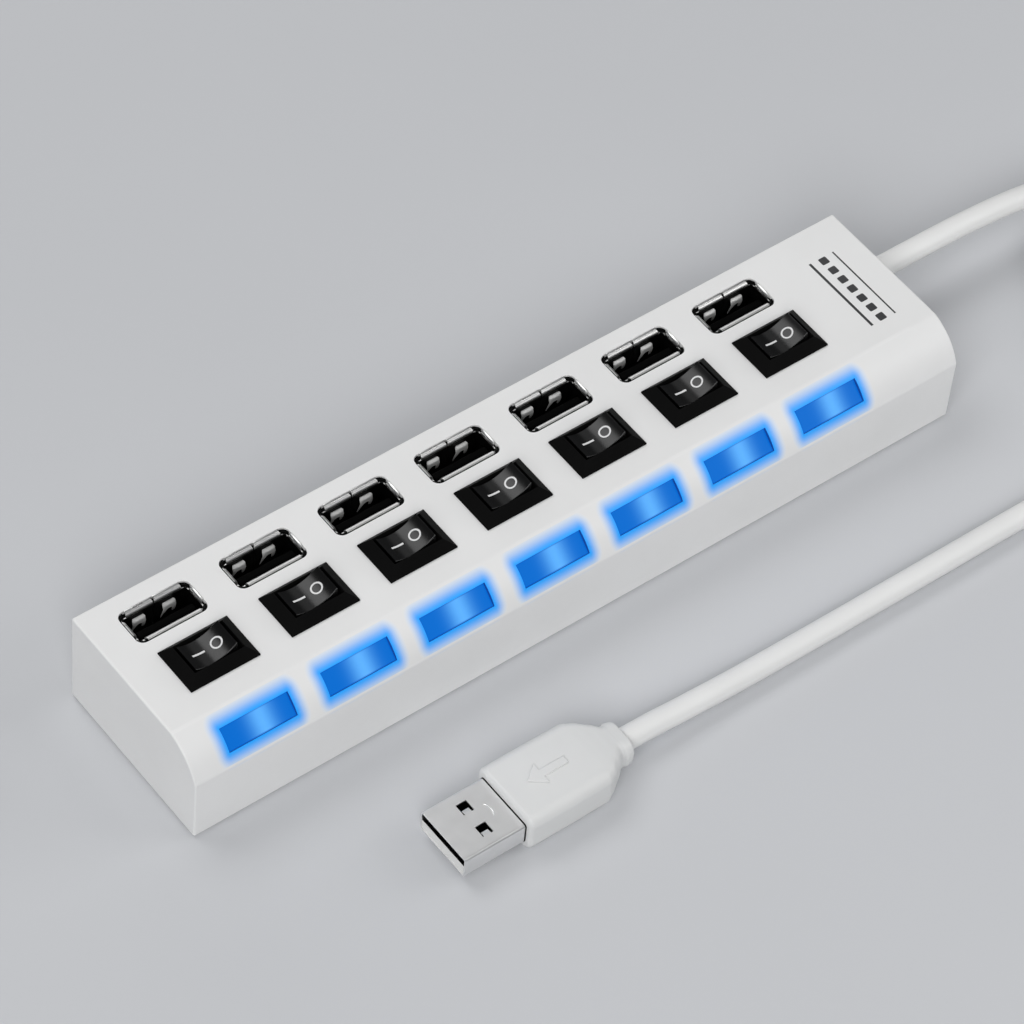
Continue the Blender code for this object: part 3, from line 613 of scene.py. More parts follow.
def make_materials():
    down, along = (1.0, 1.0, 0.25), (0.25, 1.0, 1.0)     # which way a metal's drawing lines run
    return {
        "case": case_paint(),
        "lens": lens_paint(),
        "board": board_paint(),
        "case_edge": moulded("case_white_edge", (0.82, 0.82, 0.815), (0.85, 0.85, 0.845), 0.45, 0.003,
                             gloss=0.25),
        "cover": moulded("cover_white_plastic", (0.78, 0.78, 0.775), (0.82, 0.82, 0.815), 0.48, 0.012,
                         3800.0),
        # Black plastic of the port collars, also used for black pieces that stand for shade: painted shade in
        # the ports' corners and a painted shadow ring on the plug
        "black_collar_and_shade": moulded("black_collar_and_painted_shade", 0.002, 0.003, 0.5, 0.005, gloss=0.05),
        "switch": moulded("switch_black_plastic", 0.0045, 0.006, 0.45, 0.006, gloss=0.015),
        "rocker": moulded("rocker_black_plastic", 0.002, 0.003, 0.24, 0.0003, gloss=0.42, uneven=0.01),
        "contact_block": moulded("contact_block_black", 0.0015, 0.002, 0.6, 0.006, gloss=0.02),
        "cable": moulded("cable_white_vinyl", (0.80, 0.80, 0.79), (0.84, 0.84, 0.83), 0.40, 0.008, 2600.0),
        "grip": moulded("grip_white_vinyl", (0.72, 0.725, 0.72), (0.75, 0.755, 0.75), 0.44, 0.006, 3600.0),
        "insert": moulded("insert_white_plastic", (0.78, 0.78, 0.76), (0.84, 0.84, 0.82), 0.45, 0.004),
        "chip": moulded("chip_black_epoxy", 0.012, 0.02, 0.5, 0.010),
        "rubber": moulded("foot_rubber", 0.018, 0.028, 0.80, 0.03, 2200.0),
        "tie": moulded("tie_white_strap", (0.72, 0.72, 0.71), (0.82, 0.82, 0.81), 0.65, 0.04, 2500.0),
        "led": moulded("led_clear_resin", (0.35, 0.55, 0.85), (0.45, 0.65, 0.92), 0.15, 0.002),
        "ink": moulded("printed_grey_ink", (0.030, 0.030, 0.032), (0.05, 0.05, 0.052), 0.5, 0.004),
        "mark": moulded("rocker_mark_white", 0.74, 0.80, 0.45, 0.004),
        "nickel": metal("plated_nickel", (0.70, 0.70, 0.69), (0.74, 0.74, 0.73), 0.26, 0.34, along, 0.0001),
        "spring": metal("spring_steel", (0.55, 0.55, 0.54), (0.62, 0.62, 0.61), 0.38, 0.44, down, 0.0002,
                        share=0.55),
        # Near-black nickel for the shells' inner faces: painted shade inside the ports
        "nickel_painted_shade": metal("nickel_painted_shade", 0.02, 0.03, 0.35, 0.5, down),
        "plug_metal": metal("plug_satin_nickel", (0.88, 0.88, 0.875), (0.93, 0.93, 0.925), 0.28, 0.36, along,
                            0.0004),
        "gold": metal("gold_flash", (0.76, 0.54, 0.22), (0.86, 0.62, 0.26), 0.20, 0.32, down),
        "screw": metal("screw_zinc", (0.48, 0.48, 0.49), (0.55, 0.55, 0.56), 0.28, 0.42, EVEN),
    }


MATERIALS = make_materials()


# -------- case

def strip_fractions():
    """Stops down the sloping strip, and which of them are a window's upper and lower edges."""
    length = (slope_point(1.0) - slope_point(0.0)).length
    upper = WINDOW_DOWN_SLOPE - WINDOW[1] / 2 / length
    lower = WINDOW_DOWN_SLOPE + WINDOW[1] / 2 / length
    outer_steps, window_steps = 4, 8
    spans = ((0.0, upper, outer_steps), (upper, lower, window_steps), (lower, 1.0, outer_steps))
    stops = [start + (end - start) * i / steps for start, end, steps in spans for i in range(steps)]
    return [*stops, 1.0], outer_steps, outer_steps + window_steps


def case_profile(inset):
    """End view of the case as (y, z) points, moved in by an inset: back wall, top, strip, front wall."""
    profile = [(HALF_DEPTH - inset, CASE_BOTTOM), (HALF_DEPTH - inset, CASE_TOP - inset)]
    for fraction in strip_fractions()[0]:
        point = slope_point(fraction, 4 * SLOPE_BULGE * fraction * (1 - fraction) - inset)
        profile.append((max(point.y, inset - HALF_DEPTH), min(point.z, CASE_TOP - inset)))
    profile.append((inset - HALF_DEPTH, CASE_BOTTOM))
    return profile


def case_skin(builder, inset):
    """Verts of one skin of the case, by place along X and then round the profile."""
    half_window = WINDOW[0] / 2
    stations = [inset - HALF_LENGTH]
    for n in range(PORT_COUNT):
        centre_x = window_centre(n).x
        stations.extend((centre_x - half_window, centre_x + half_window))
    stations.append(HALF_LENGTH - inset)
    return [[builder.verts.new((x, y, z)) for y, z in case_profile(inset)] for x in stations]


def case_shell():
    """The case's closed shell, with its window openings, and weights on the edges to be rounded."""
    builder = bmesh.new()
    outer, inner = case_skin(builder, 0.0), case_skin(builder, WALL)
    upper, lower = (row + 2 for row in strip_fractions()[1:])
    last = len(outer[0]) - 1
    for i in range(len(outer) - 1):
        is_window = i % 2 == 1
        for skin in (outer, inner):
            near, far = skin[i:i + 2]
            for row in range(last):
                if not (is_window and upper <= row < lower):
                    builder.faces.new((near[row], far[row], far[row + 1], near[row + 1]))
        rims = (0, last, upper, lower) if is_window else (0, last)
        for row in rims:
            builder.faces.new((outer[i][row], outer[i + 1][row], inner[i + 1][row], inner[i][row]))
        if is_window:
            for j in (i, i + 1):
                bridge(builder, outer[j][upper:lower + 1], inner[j][upper:lower + 1], closed=False)
    for j in (0, -1):
        builder.faces.new(outer[j])
        builder.faces.new(inner[j])
        builder.faces.new((outer[j][0], outer[j][last], inner[j][last], inner[j][0]))

    weights = builder.edges.layers.float.new("bevel_weight_edge")
    foot = last - 1
    runs = [[column[row] for column in outer] for row in (1, 2, foot)]
    runs.extend((outer[0], outer[-1]))
    for run in runs:
        for first, second in zip(run, run[1:]):
            builder.edges.get((first, second))[weights] = 1.0
    return builder


def case_openings():
    low, high = CASE_TOP - 2 * WALL, CASE_TOP + WALL
    solids = []
    for n in range(PORT_COUNT):
        solids.append(upright(rounded_rectangle(*PORT_HOLE), low, high, port_mouth(n)))
        solids.append(upright(rectangle(*SWITCH_HOLE), low, high, rocker_pivot(n)))
    bush = middle_of("cable_bush")
    hole = [(bush.y + y, bush.z + z) for y, z in circle(BUSH_HOLE_RADIUS, 40)]
    solids.append(along_x(hole, HALF_LENGTH - 2 * WALL, HALF_LENGTH + WALL))
    return solids


def make_case():
    case = link_object("case_form", build_mesh("case_form", case_shell(), ["case", "case_edge"]))
    modify(case, "BEVEL", width=EDGE_ROUND, segments=4, limit_method="WEIGHT", material=1)
    cutter = cut_away(case, case_openings())
    add_bevel(case, OPENING_ROUND, 2, 50)
    place_piece("case_shell", apply_modifiers(case, 30.0, [cutter]), ["upper_case"])
    bosses = [upright(circle(BOSS_RADIUS), BOSS_BOTTOM, CASE_TOP - WALL, (x, 0.0)) for x in (-BOSS_X, BOSS_X)]
    make_piece("screw_bosses", lofted(*bosses), "cover", "case")


def make_top_print():
    """A plain printed sign for seven ports at the cable end: seven small squares between two lines."""
    low, high = CASE_TOP - 0.01 * MM, CASE_TOP + 0.02 * MM
    pitch, square = 2.6 * MM, 1.6 * MM
    centre_x, centre_y = 72.3 * MM, 2.0 * MM
    marks = []
    for n in range(PORT_COUNT):
        y = centre_y + (n - (PORT_COUNT - 1) / 2) * pitch
        marks.append(upright(rounded_rectangle(square, square, 0.25 * MM, 3), low, high, (centre_x, y)))
    length = pitch * (PORT_COUNT - 1) + square
    for offset, width in ((-2.6 * MM, 0.5 * MM), (2.6 * MM, 0.3 * MM)):
        marks.append(upright(rectangle(width, length), low, high, (centre_x + offset, centre_y)))
    make_piece("top_print", lofted(*marks), "ink", "contact_block")


# -------- ports

def shell_sides():
    """The shell's sides: outward and travel ways, distance out, flat and lip half-lengths, lip reach."""
    half_x, half_y = SHELL_HALF
    short_side = (half_x, half_y - SHELL_FOLD, LIP_HALF[1], LIP_REACH[0])
    long_side = (half_y, half_x - SHELL_FOLD, LIP_HALF[0], LIP_REACH[1])
    ways = [Vector(way) for way in ((0, -1), (1, 0), (0, 1), (-1, 0))]
    return [(ways[i], ways[(i + 1) % 4], *(short_side if i % 2 else long_side)) for i in range(4)]


def add_lip(builder, root_start, root_end, outward, along, roll):
    """One flared lip, from two corners on the wall's top edge: straight up, then rolled outwards."""
    steps = 12
    row = [root_start, root_end]
    start, end = root_start.co.copy(), root_end.co.copy()
    out, trim = outward.to_3d(), along.to_3d() * 0.2 * MM
    straight = 0.15 * MM
    for k in range(steps + 1):
        share = k / steps
        angle = LIP_SWEEP * k / steps
        shift = out * roll * (1 - cos(angle))
        shift.z += straight + LIP_RISE * sin(angle)
        points = (start + shift + trim * share, end + shift - trim * share)
        new_row = [builder.verts.new(point) for point in points]
        builder.faces.new((row[0], row[1], new_row[1], new_row[0]))
        row = new_row


def shell_mesh():
    """The receptacle's folded steel shell, its mouth's middle at the origin."""
    builder = bmesh.new()
    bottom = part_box("usb_shell_1")[0].z - CASE_TOP
    points, lips, seam = [], [], None
    for outward, along, reach, flat, lip, roll in shell_sides():
        stops = [-flat, -lip, lip, flat]
        lips.append((len(points) + 1, outward, along, roll))
        if outward.y > 0:
            stops = [-flat, -lip, -SEAM_HALF, SEAM_HALF, lip, flat]
            seam = len(points) + 2
            lips.append((len(points) + 3, outward, along, roll))
        points.extend(outward * reach + along * stop for stop in stops)
        centre = outward * (reach - SHELL_FOLD) + along * flat
        for i in range(1, 4):
            angle = pi / 2 * i / 4
            points.append(centre + (outward * cos(angle) + along * sin(angle)) * SHELL_FOLD)
    low = [builder.verts.new((p.x, p.y, bottom)) for p in points]
    top = [builder.verts.new((p.x, p.y, LIP_ROOT)) for p in points]
    for i in range(len(points)):
        if i != seam:
            j = (i + 1) % len(points)
            builder.faces.new((low[i], low[j], top[j], top[i]))
    for index, *directions in lips:
        add_lip(builder, top[index], top[index + 1], *directions)
    mesh = finished_mesh("port_shell", builder, "nickel", "nickel_painted_shade",
                         rounding=(0.05 * MM, 2, 60), sheet=(SHELL_WALL, -1.0), sharp=40.0)
    # The inner faces below the lips take the near-black nickel, as painted shade
    inner_x, inner_y = (half - SHELL_WALL / 2 for half in SHELL_HALF)
    for face in mesh.polygons:
        inside = abs(face.center.x) < inner_x and abs(face.center.y) < inner_y
        if inside and face.center.z < LIP_ROOT:
            face.material_index = 1
    return mesh


# Outer and inner edge of a forked spring finger in mm, from its left leg's tip over to its right leg's
FINGER_OUTER = ((-1.45, -3.3), (-1.30, -2.2), (-1.20, -1.1), (-1.15, -0.25), (-0.95, 0.0),
                (0.0, 0.0), (1.15, 0.0), (1.35, -0.25), (1.35, -1.1), (1.33, -2.0), (1.25, -2.7))
FINGER_INNER = ((-1.35, -3.2), (-0.95, -2.3), (-0.70, -1.75), (-0.50, -1.4), (-0.25, -1.25),
                (0.05, -1.2), (0.35, -1.25), (0.60, -1.4), (0.72, -1.7), (0.75, -2.1), (0.80, -2.7))


def spring_mesh():
    """Spring fingers in the back and front walls, bowed into the mouth, its middle at the origin."""
    builder = bmesh.new()
    wall = SHELL_HALF[1] - SHELL_WALL
    top = -1.55 * MM
    columns = 12
    for side, middle in ((1, -3.4 * MM), (1, 2.6 * MM), (-1, -3.0 * MM), (-1, 3.0 * MM)):
        rows = []
        for (outer_x, outer_z), (inner_x, inner_z) in zip(FINGER_OUTER, FINGER_INNER):
            row = []
            for k in range(columns + 1):
                share = k / columns
                x = (outer_x + (inner_x - outer_x) * share) * MM
                z = (outer_z + (inner_z - outer_z) * share) * MM
                rise = smooth_step(-z, 0.0, 0.55 * MM) - 0.7 * smooth_step(-z, 1.2 * MM, 3.3 * MM)
                bow = 0.1 * MM + 0.55 * MM * rise
                row.append(builder.verts.new((middle + x, side * (wall - bow), top + z)))
            rows.append(row)
        for first, second in zip(rows, rows[1:]):
            bridge(builder, first, second, closed=False)
    return finished_mesh("port_springs", builder, "spring",
                         rounding=(0.04 * MM, 2, 60), sheet=(0.16 * MM, 0.0), sharp=50.0)


def surround_mesh():
    """Black plastic collar round the steel shell, with a black post in each corner of the hole as painted
    shade there.
    """
    gap = 0.04 * MM
    steps = 6
    hole = (PORT_HOLE[0] - 2 * gap, PORT_HOLE[1] - 2 * gap, PORT_HOLE[2] - gap)
    shell = (2 * (SHELL_HALF[0] + gap), 2 * (SHELL_HALF[1] + gap), SHELL_FOLD + gap)
    outer, inner = rounded_rectangle(*hole, steps), rounded_rectangle(*shell, steps)
    bottom, shelf, top = -4.0 * MM, LIP_ROOT - 0.1 * MM, -0.3 * MM
    rings = [[(x, y, z) for x, y in outline]
             for outline, z in ((outer, bottom), (outer, shelf), (inner, shelf), (inner, bottom))]
    builder = lofted(rings, closed=True)
    # Corner posts: painted shade in the hole's corners
    for corner in CORNERS:
        outline = corner_arc(*hole, *corner, steps) + corner_arc(*shell, *corner, steps)[::-1]
        add_loft(builder, upright(outline, shelf - 0.2 * MM, top))
    return finished_mesh("port_surround", builder, "black_collar_and_shade", rounding=(0.05 * MM, 1, 50))


def tongue_mesh():
    """Contact block: base and chamfered tongue, its mouth's middle at the origin."""
    low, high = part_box("usb_tongue_1")
    mouth = port_mouth(0)
    bottom = low.z - CASE_TOP
    half_x = (high.x - low.x) / 2
    front = low.y - mouth.y
    back = high.y - mouth.y
    tongue_front = -1.89 * MM
    tongue_back = tongue_front + 1.84 * MM
    shoulder = bottom + 3.0 * MM
    chamfer = 0.45 * MM
    cheek = TONGUE_TIP - chamfer
    outline = [(front, bottom), (back, bottom), (back, shoulder), (tongue_back, shoulder),
               (tongue_back, cheek), (tongue_back - chamfer, TONGUE_TIP),
               (tongue_front + chamfer, TONGUE_TIP), (tongue_front, cheek),
               (tongue_front, shoulder), (front, shoulder)]
    builder = lofted(along_x(outline, -half_x, half_x))
    return finished_mesh("port_tongue", builder, "contact_block", rounding=(0.1 * MM, 2, 30))


def contact_mesh():
    """Four gold contacts low on the tongue's back face."""
    face = -0.05 * MM
    contacts = [box((x - CONTACT_HALF, face - 0.05 * MM, -10.5 * MM),
                    (x + CONTACT_HALF, face + 0.10 * MM, -4.6 * MM)) for x in CONTACT_PLACES]
    return finished_mesh("port_contacts", lofted(*contacts), "gold", rounding=(0.06 * MM, 2, 30))


def make_ports():
    pieces = [
        ("port_shell", shell_mesh(), "steel", "usb_shell"),
        ("port_springs", spring_mesh(), "steel", None),
        ("port_surround", surround_mesh(), "contact_block", None),
        ("port_tongue", tongue_mesh(), "contact_block", "usb_tongue"),
        ("port_contacts", contact_mesh(), "steel", None),
    ]
    for n in range(PORT_COUNT):
        for name, mesh, slot, node in pieces:
            place_piece(f"{name}_{n + 1}", mesh, [f"{node}_{n + 1}"] if node else (), port_mouth(n))


# -------- switches

def bezel_mesh():
    """Switch body, sloping bezel and well, with the rocker's pivot over the origin."""
    low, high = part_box("switch_housing_1")
    pivot = rocker_pivot(0)
    left, right = low.x - pivot.x, high.x - pivot.x
    front, back = low.y - pivot.y, high.y - pivot.y
    base = [(left, front), (right, front), (right, back), (left, back)]
    body = rectangle(12.2 * MM, 8.4 * MM)
    seat = CASE_TOP + 0.02 * MM
    rim_break, well_floor = 0.1 * MM, 17.6 * MM
    steps = [
        (body, low.z),
        (body, seat),
        (base, seat),
        (base, seat + 0.32 * MM),
        (rectangle(*BEZEL_RIM), BEZEL_TOP),
        (rectangle(BEZEL_WELL[0] + rim_break, BEZEL_WELL[1] + rim_break), BEZEL_TOP),
        (rectangle(*BEZEL_WELL), BEZEL_TOP - 0.2 * MM),
        (rectangle(*BEZEL_WELL), well_floor),
    ]
    builder = lofted([[(x, y, z) for x, y in outline] for outline, z in steps])
    bearing = [(x, pivot.z + z) for x, z in circle(0.8 * MM, 32)]
    return finished_mesh("switch_bezel", builder, "switch", rounding=(0.08 * MM, 2, 25),
                         cutters=[[along_y(bearing, -3.6 * MM, 3.6 * MM)]], sharp=28.0)


def rocker_top(x):
    """Height of the rocker's dished top above its pivot."""
    rise = ROCKER_END_HEIGHT - ROCKER_MIDDLE_HEIGHT
    return ROCKER_MIDDLE_HEIGHT + rise * (x / ROCKER_HALF_LENGTH) ** 2


def rocker_mesh():
    """The rocker with its stubs, its pivot at the origin."""
    steps = 24
    waist, belly = 0.9 * MM, 2.4 * MM
    outline = []
    for i in range(steps + 1):
        x = ROCKER_HALF_LENGTH * (1 - 2 * i / steps)
        outline.append((x, rocker_top(x)))
    for i in range(steps + 1):
        x = -ROCKER_HALF_LENGTH * (1 - 2 * i / steps)
        outline.append((x, -waist - (belly - waist) * (1 - (x / ROCKER_HALF_LENGTH) ** 2)))
    stubs = [along_y(circle(0.5 * MM, 24), side * (ROCKER_HALF_WIDTH - 0.3 * MM), side * 3.35 * MM)
             for side in (-1, 1)]
    builder = lofted(along_y(outline, -ROCKER_HALF_WIDTH, ROCKER_HALF_WIDTH), *stubs)
    return finished_mesh("rocker_cap", builder, "rocker", rounding=(0.16 * MM, 3, 40), sharp=30.0)


def mark_mesh():
    """The bar at the pressed end and the ring at the raised end, laid on the rocker's top."""
    builder = bmesh.new()

    def lay(edges, closed):
        rows = [[builder.verts.new((x, y, rocker_top(x) + MARK_LIFT)) for x, y in edge] for edge in edges]
        bridge(builder, *rows, closed)

    ring_x, ring_inner, ring_outer = 1.75 * MM, 0.80 * MM, 1.09 * MM
    lay([[(ring_x + x, y) for x, y in circle(radius)] for radius in (ring_inner, ring_outer)], True)
    bar_x, bar_half, bar_width = -1.75 * MM, 1.15 * MM, 0.36 * MM
    steps = 10
    stations = [bar_x + bar_half * (2 * i / steps - 1) for i in range(steps + 1)]
    lay([[(x, y) for x in stations] for y in (-bar_width / 2, bar_width / 2)], False)
    return finished_mesh("rocker_marks", builder, "mark", sheet=(0.03 * MM, 0.0))


def make_switches():
    bezel, rocker, marks = bezel_mesh(), rocker_mesh(), mark_mesh()
    turn = (0.0, -ROCKER_TILT, 0.0)
    for n in range(PORT_COUNT):
        number = n + 1
        pivot = rocker_pivot(n)
        body = frame["joints"][n]["child"]
        foot = (pivot.x, pivot.y, 0.0)
        place_piece(f"switch_bezel_{number}", bezel, [f"switch_housing_{number}"], foot)
        place_piece(f"rocker_cap_{number}", rocker, [f"rocker_{number}"], pivot, turn, body)
        place_piece(f"rocker_marks_{number}", marks, (), pivot, turn, body)


# -------- windows

def lens_mesh():
    """A flat plate with a fine chamfer: X along the hub, Y up the slope, Z out of it."""
    play, chamfer, thick = 0.06 * MM, 0.06 * MM, 1.5 * MM
    width, height = WINDOW[0] - play, WINDOW[1] - play
    rings = [[(x, y, level) for x, y in rectangle(width - 2 * inset, height - 2 * inset)]
             for inset, level in ((0.0, -thick), (0.0, -chamfer), (chamfer, 0.0))]
    return finished_mesh("window", lofted(rings), "lens")


def make_windows():
    mesh = lens_mesh()
    out, down = slope_outward(), slope_down()
    turn = Matrix((Vector((1, 0, 0)), -down, out)).transposed().to_euler()
    for n in range(PORT_COUNT):
        place = window_centre(n) + out * LENS_RISE
        place_piece(f"window_{n + 1}", mesh, [f"light_lens_{n + 1}"], place, turn)


# -------- underside and inside

def refine_node(node, name, material, slot, rounding):
    """A new piece of the same shape as a CAD node, with its flat faces joined up and its edges rounded."""
    source = frame["nodes"][node].data
    copy = bpy.data.meshes.new(name)
    copy.from_pydata([v.co for v in source.vertices], [], [tuple(p.vertices) for p in source.polygons])
    builder = bmesh.new()
    builder.from_mesh(copy)
    bpy.data.meshes.remove(copy)
    bmesh.ops.remove_doubles(builder, verts=builder.verts, dist=0.001 * MM)
    bmesh.ops.dissolve_limit(builder, angle_limit=radians(1), verts=builder.verts, edges=builder.edges)
    make_piece(name, builder, material, slot, [node], rounding=rounding)


def screw_mesh():
    """Pan-head screw with a cross recess, its head's face at the origin and its tip along +Z."""
    low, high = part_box("case_screw_1")
    length = high.z - low.z
    profile = [(1.3, 0.0), (1.85, 0.12), (2.08, 0.45), (2.1, 1.2), (1.1, 1.3), (1.1, 8.0), (0.2, 9.2)]
    rings = [[(x, y, min(level * MM, length)) for x, y in circle(radius * MM, 32)]
             for radius, level in profile]
    arm, half, deep = 1.15 * MM, 0.24 * MM, 0.75 * MM
    slots = [[box((-x, -y, -deep), (x, y, deep))] for x, y in ((arm, half), (half, arm))]
    return finished_mesh("cover_screw", lofted(rings), "screw", cutters=slots, sharp=35.0)


def make_inside_and_underside():
    refine_node("bottom_cover", "base_cover", "cover", "case", (0.15 * MM, 2, 40))
    for n in range(1, 5):
        refine_node(f"rubber_foot_{n}", f"foot_{n}", "rubber", "rubber", (0.25 * MM, 3, 40))
    screw = screw_mesh()
    for n in (1, 2):
        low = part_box(f"case_screw_{n}")[0]
        centre = middle_of(f"case_screw_{n}")
        place_piece(f"cover_screw_{n}", screw, [f"case_screw_{n}"], (centre.x, centre.y, low.z))
    kept = {"circuit_board": "board", "hub_chip": "chip"}
    kept.update({f"led_{n}": "led" for n in range(1, PORT_COUNT + 1)})
    for node, material in kept.items():
        slots = frame["nodes"][node].data.materials
        slots.clear()
        slots.append(MATERIALS[material])


# -------- cable

def coil_points():
    """Two and a half turns, clockwise from above: on top first, then inside, then outside along the table."""
    inner, outer = COIL_RADIUS - CABLE_RADIUS, COIL_RADIUS + CABLE_RADIUS
    nested = CABLE_RADIUS * (1 + sqrt(3))
    per_turn = 24
    points = []
    for i in range(1, round(2.5 * per_turn)):
        angle = tau * i / per_turn
        ease = partial(smooth_step, i / per_turn)
        radius = COIL_RADIUS + 2.0 * MM * (1 - ease(0.0, 0.25))
        radius += (inner - COIL_RADIUS) * ease(0.725, 1.0) + (outer - inner) * ease(1.5, 1.75)
        height = nested + 1.5 * MM * (1 - ease(0.0, 0.225))
        height += 0.6 * MM * (ease(0.475, 0.6) - ease(0.65, 0.775))
        height += (CABLE_RADIUS - nested) * ease(0.75, 1.0)
        from_tie = (angle - 0.5 * pi + pi) % tau - pi
        height += 0.7 * MM * exp(-((from_tie / 0.45) ** 2))
        points.append(Vector((COIL_CENTRE.x + radius * sin(angle),
                              COIL_CENTRE.y + radius * cos(angle), height)))
    return points


def smooth_route(points, spacing):
    """Even points along a smooth curve (Catmull-Rom) through the route's own points."""
    padded = [2 * points[0] - points[1], *points, 2 * points[-1] - points[-2]]
    fine = []
    steps = 24
    for before, start, end, after in zip(padded, padded[1:], padded[2:], padded[3:]):
        handles = (start + (end - before) / 6, end - (after - start) / 6)
        fine.extend(interpolate_bezier(start, *handles, end, steps + 1)[:-1])
    fine = np.array([*fine, points[-1]])
    run = np.append(0.0, np.cumsum(np.linalg.norm(np.diff(fine, axis=0), axis=1)))
    stops = np.linspace(0.0, run[-1], round(run[-1] / spacing) + 1)
    return np.stack([np.interp(stops, run, values) for values in fine.T], axis=1)


def make_cable():
    points = smooth_route([*HUB_SIDE_ROUTE, *coil_points(), *PLUG_SIDE_ROUTE], 2.0 * MM)
    curve = bpy.data.curves.new("cable", "CURVE")
    curve.dimensions = "3D"
    curve.bevel_depth = CABLE_RADIUS
    curve.bevel_resolution = 6
    curve.use_fill_caps = True
    spline = curve.splines.new("POLY")
    spline.points.add(len(points) - 1)
    for target, point in zip(spline.points, points):
        target.co = (*point, 1.0)
    spline.use_smooth = True
    curve.materials.append(MATERIALS["cable"])
    cable = link_object("cable", curve)
    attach(cable, HUB)
    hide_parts("cable_from_hub", "cable_coil", "cable_to_plug")
    return cable


def make_bush():
    """Short ribbed sleeve in the end wall."""
    low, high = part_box("cable_bush")
    centre = (low + high) / 2
    flange_x, face_x = 78.4 * MM, HALF_LENGTH + 0.02 * MM
    flange, neck, collar = 4.5 * MM, BUSH_HOLE_RADIUS - 0.1 * MM, 4.05 * MM
    outline = [(low.x, flange), (flange_x, flange), (flange_x, neck), (face_x, neck), (face_x, collar)]
    ribs = 3
    start, end = HALF_LENGTH + 0.9 * MM, high.x
    for i in range(ribs):
        for share, drop in ((0.0, 0.0), (0.55, 0.05), (0.65, 0.35), (0.95, 0.38)):
            outline.append((start + (end - start) * (i + share) / ribs, (4.0 - 0.32 * i - drop) * MM))
    bore = CABLE_RADIUS + 0.02 * MM
    outline.extend([(end, outline[-1][1] - 0.2 * MM), (end, bore), (low.x, bore)])
    rings = [[(x, centre.y + y, centre.z + z) for y, z in circle(radius)] for x, radius in outline]
    return make_piece("bush", lofted(rings, closed=True), "cable", "cable", ["cable_bush"],
                      rounding=(0.12 * MM, 2, 35), sharp=40.0)


def make_tie():
    """A soft strap pulled round the coil's three strands."""
    low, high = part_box("cable_tie")
    centre_x = COIL_CENTRE.x + COIL_RADIUS
    lift = CABLE_RADIUS + 0.7 * MM
    strands = (
        (Vector((centre_x - CABLE_RADIUS, lift)), pi * 7 / 6),
        (Vector((centre_x + CABLE_RADIUS, lift)), pi * 3 / 2),
        (Vector((centre_x, lift + CABLE_RADIUS * sqrt(3))), pi / 6),
    )
    clearance, thickness = 0.05 * MM, 0.55 * MM
    arc_steps = 8
    loops = []
    for reach, floor in ((clearance, clearance + thickness), (clearance + thickness, clearance)):
        loop = []
        for strand, start in strands:
            for i in range(arc_steps + 1):
                angle = start + tau / 3 * i / arc_steps
                point = strand + Vector((cos(angle), sin(angle))) * (CABLE_RADIUS + reach)
                loop.append((point.x, max(point.y, floor)))
        loops.append(loop)
    inner, outer = loops
    half = (high.y - low.y) / 2
    rings = [[(x, COIL_CENTRE.y + y, z) for x, z in loop]
             for loop, y in ((outer, -half), (outer, half), (inner, half), (inner, -half))]
    return make_piece("strap", lofted(rings, closed=True), "tie", "tie", ["cable_tie"],
                      rounding=(0.12 * MM, 2, 40), sharp=40.0)


# -------- plug

def plug_ring(outline, x):
    return [(x, PLUG_Y + y, PLUG_Z + z) for y, z in outline]


def plug_outline(growth=0.0, radius=PLUG_CORNER):
    """End view of the plug's shell, grown all round."""
    size = PLUG_HIGH - PLUG_LOW
    return rounded_rectangle(size.y + 2 * growth, size.z + 2 * growth, radius, 5)


def plug_tube(outer, inner, front, back):
    turns = ((outer, front), (outer, back), (inner, back), (inner, front))
    return lofted([plug_ring(outline, x) for outline, x in turns], closed=True)


def turned_edge(section, reach, angle, corner_share=1.0):
    """A section part of the way round a rounded edge: moved along and drawn in."""
    x, width, height, radius = section
    inset = reach * (1 - cos(angle))
    return (x + reach * sin(angle), width - 2 * inset, height - 2 * inset, radius - corner_share * inset)


def grip_sections():
    """The grip's sections, closely spaced, with a rounded front edge and a rounded end."""
    steps, end_steps = 6, 4
    sections = [turned_edge(GRIP_SECTIONS[0], GRIP_FRONT_ROUND, pi / 2 * (i / steps - 1), 0.6)
                for i in range(steps)]
    for first, second in zip(GRIP_SECTIONS, GRIP_SECTIONS[1:]):
        for k in range(steps):
            t = k / steps
            share = 0.65 * t + 0.35 * smooth_step(t, 0.0, 1.0)
            size = (a + (b - a) * share for a, b in zip(first[1:], second[1:]))
            sections.append((first[0] + (second[0] - first[0]) * t, *size))
    for i in range(end_steps + 1):
        sections.append(turned_edge(GRIP_SECTIONS[-1], GRIP_END_ROUND, pi / 2 * i / end_steps))
    return sections


def make_grip():
    """The plug's overmoulded grip, with a plain raised arrow that points to its mouth."""
    rings = [plug_ring(rounded_rectangle(*size, 8), x) for x, *size in grip_sections()]
    top = PLUG_Z + GRIP_SECTIONS[0][2] / 2
    tip, neck, end = -33.2 * MM, -30.2 * MM, -25.2 * MM
    wide, narrow = 2.3 * MM, 0.75 * MM
    arrow = [(tip, 0.0), (neck, wide), (neck, narrow), (end, narrow),
             (end, -narrow), (neck, -narrow), (neck, -wide)]
    sign = upright(arrow, top - 0.2 * MM, top + 0.34 * MM, (0.0, PLUG_Y))
    return [
        make_piece("plug_grip", lofted(rings), "grip", "cable", ["plug_overmould"], sharp=45.0),
        make_piece("plug_arrow", lofted(sign), "grip", "cable", rounding=(0.14 * MM, 3, 30), sharp=40.0),
    ]


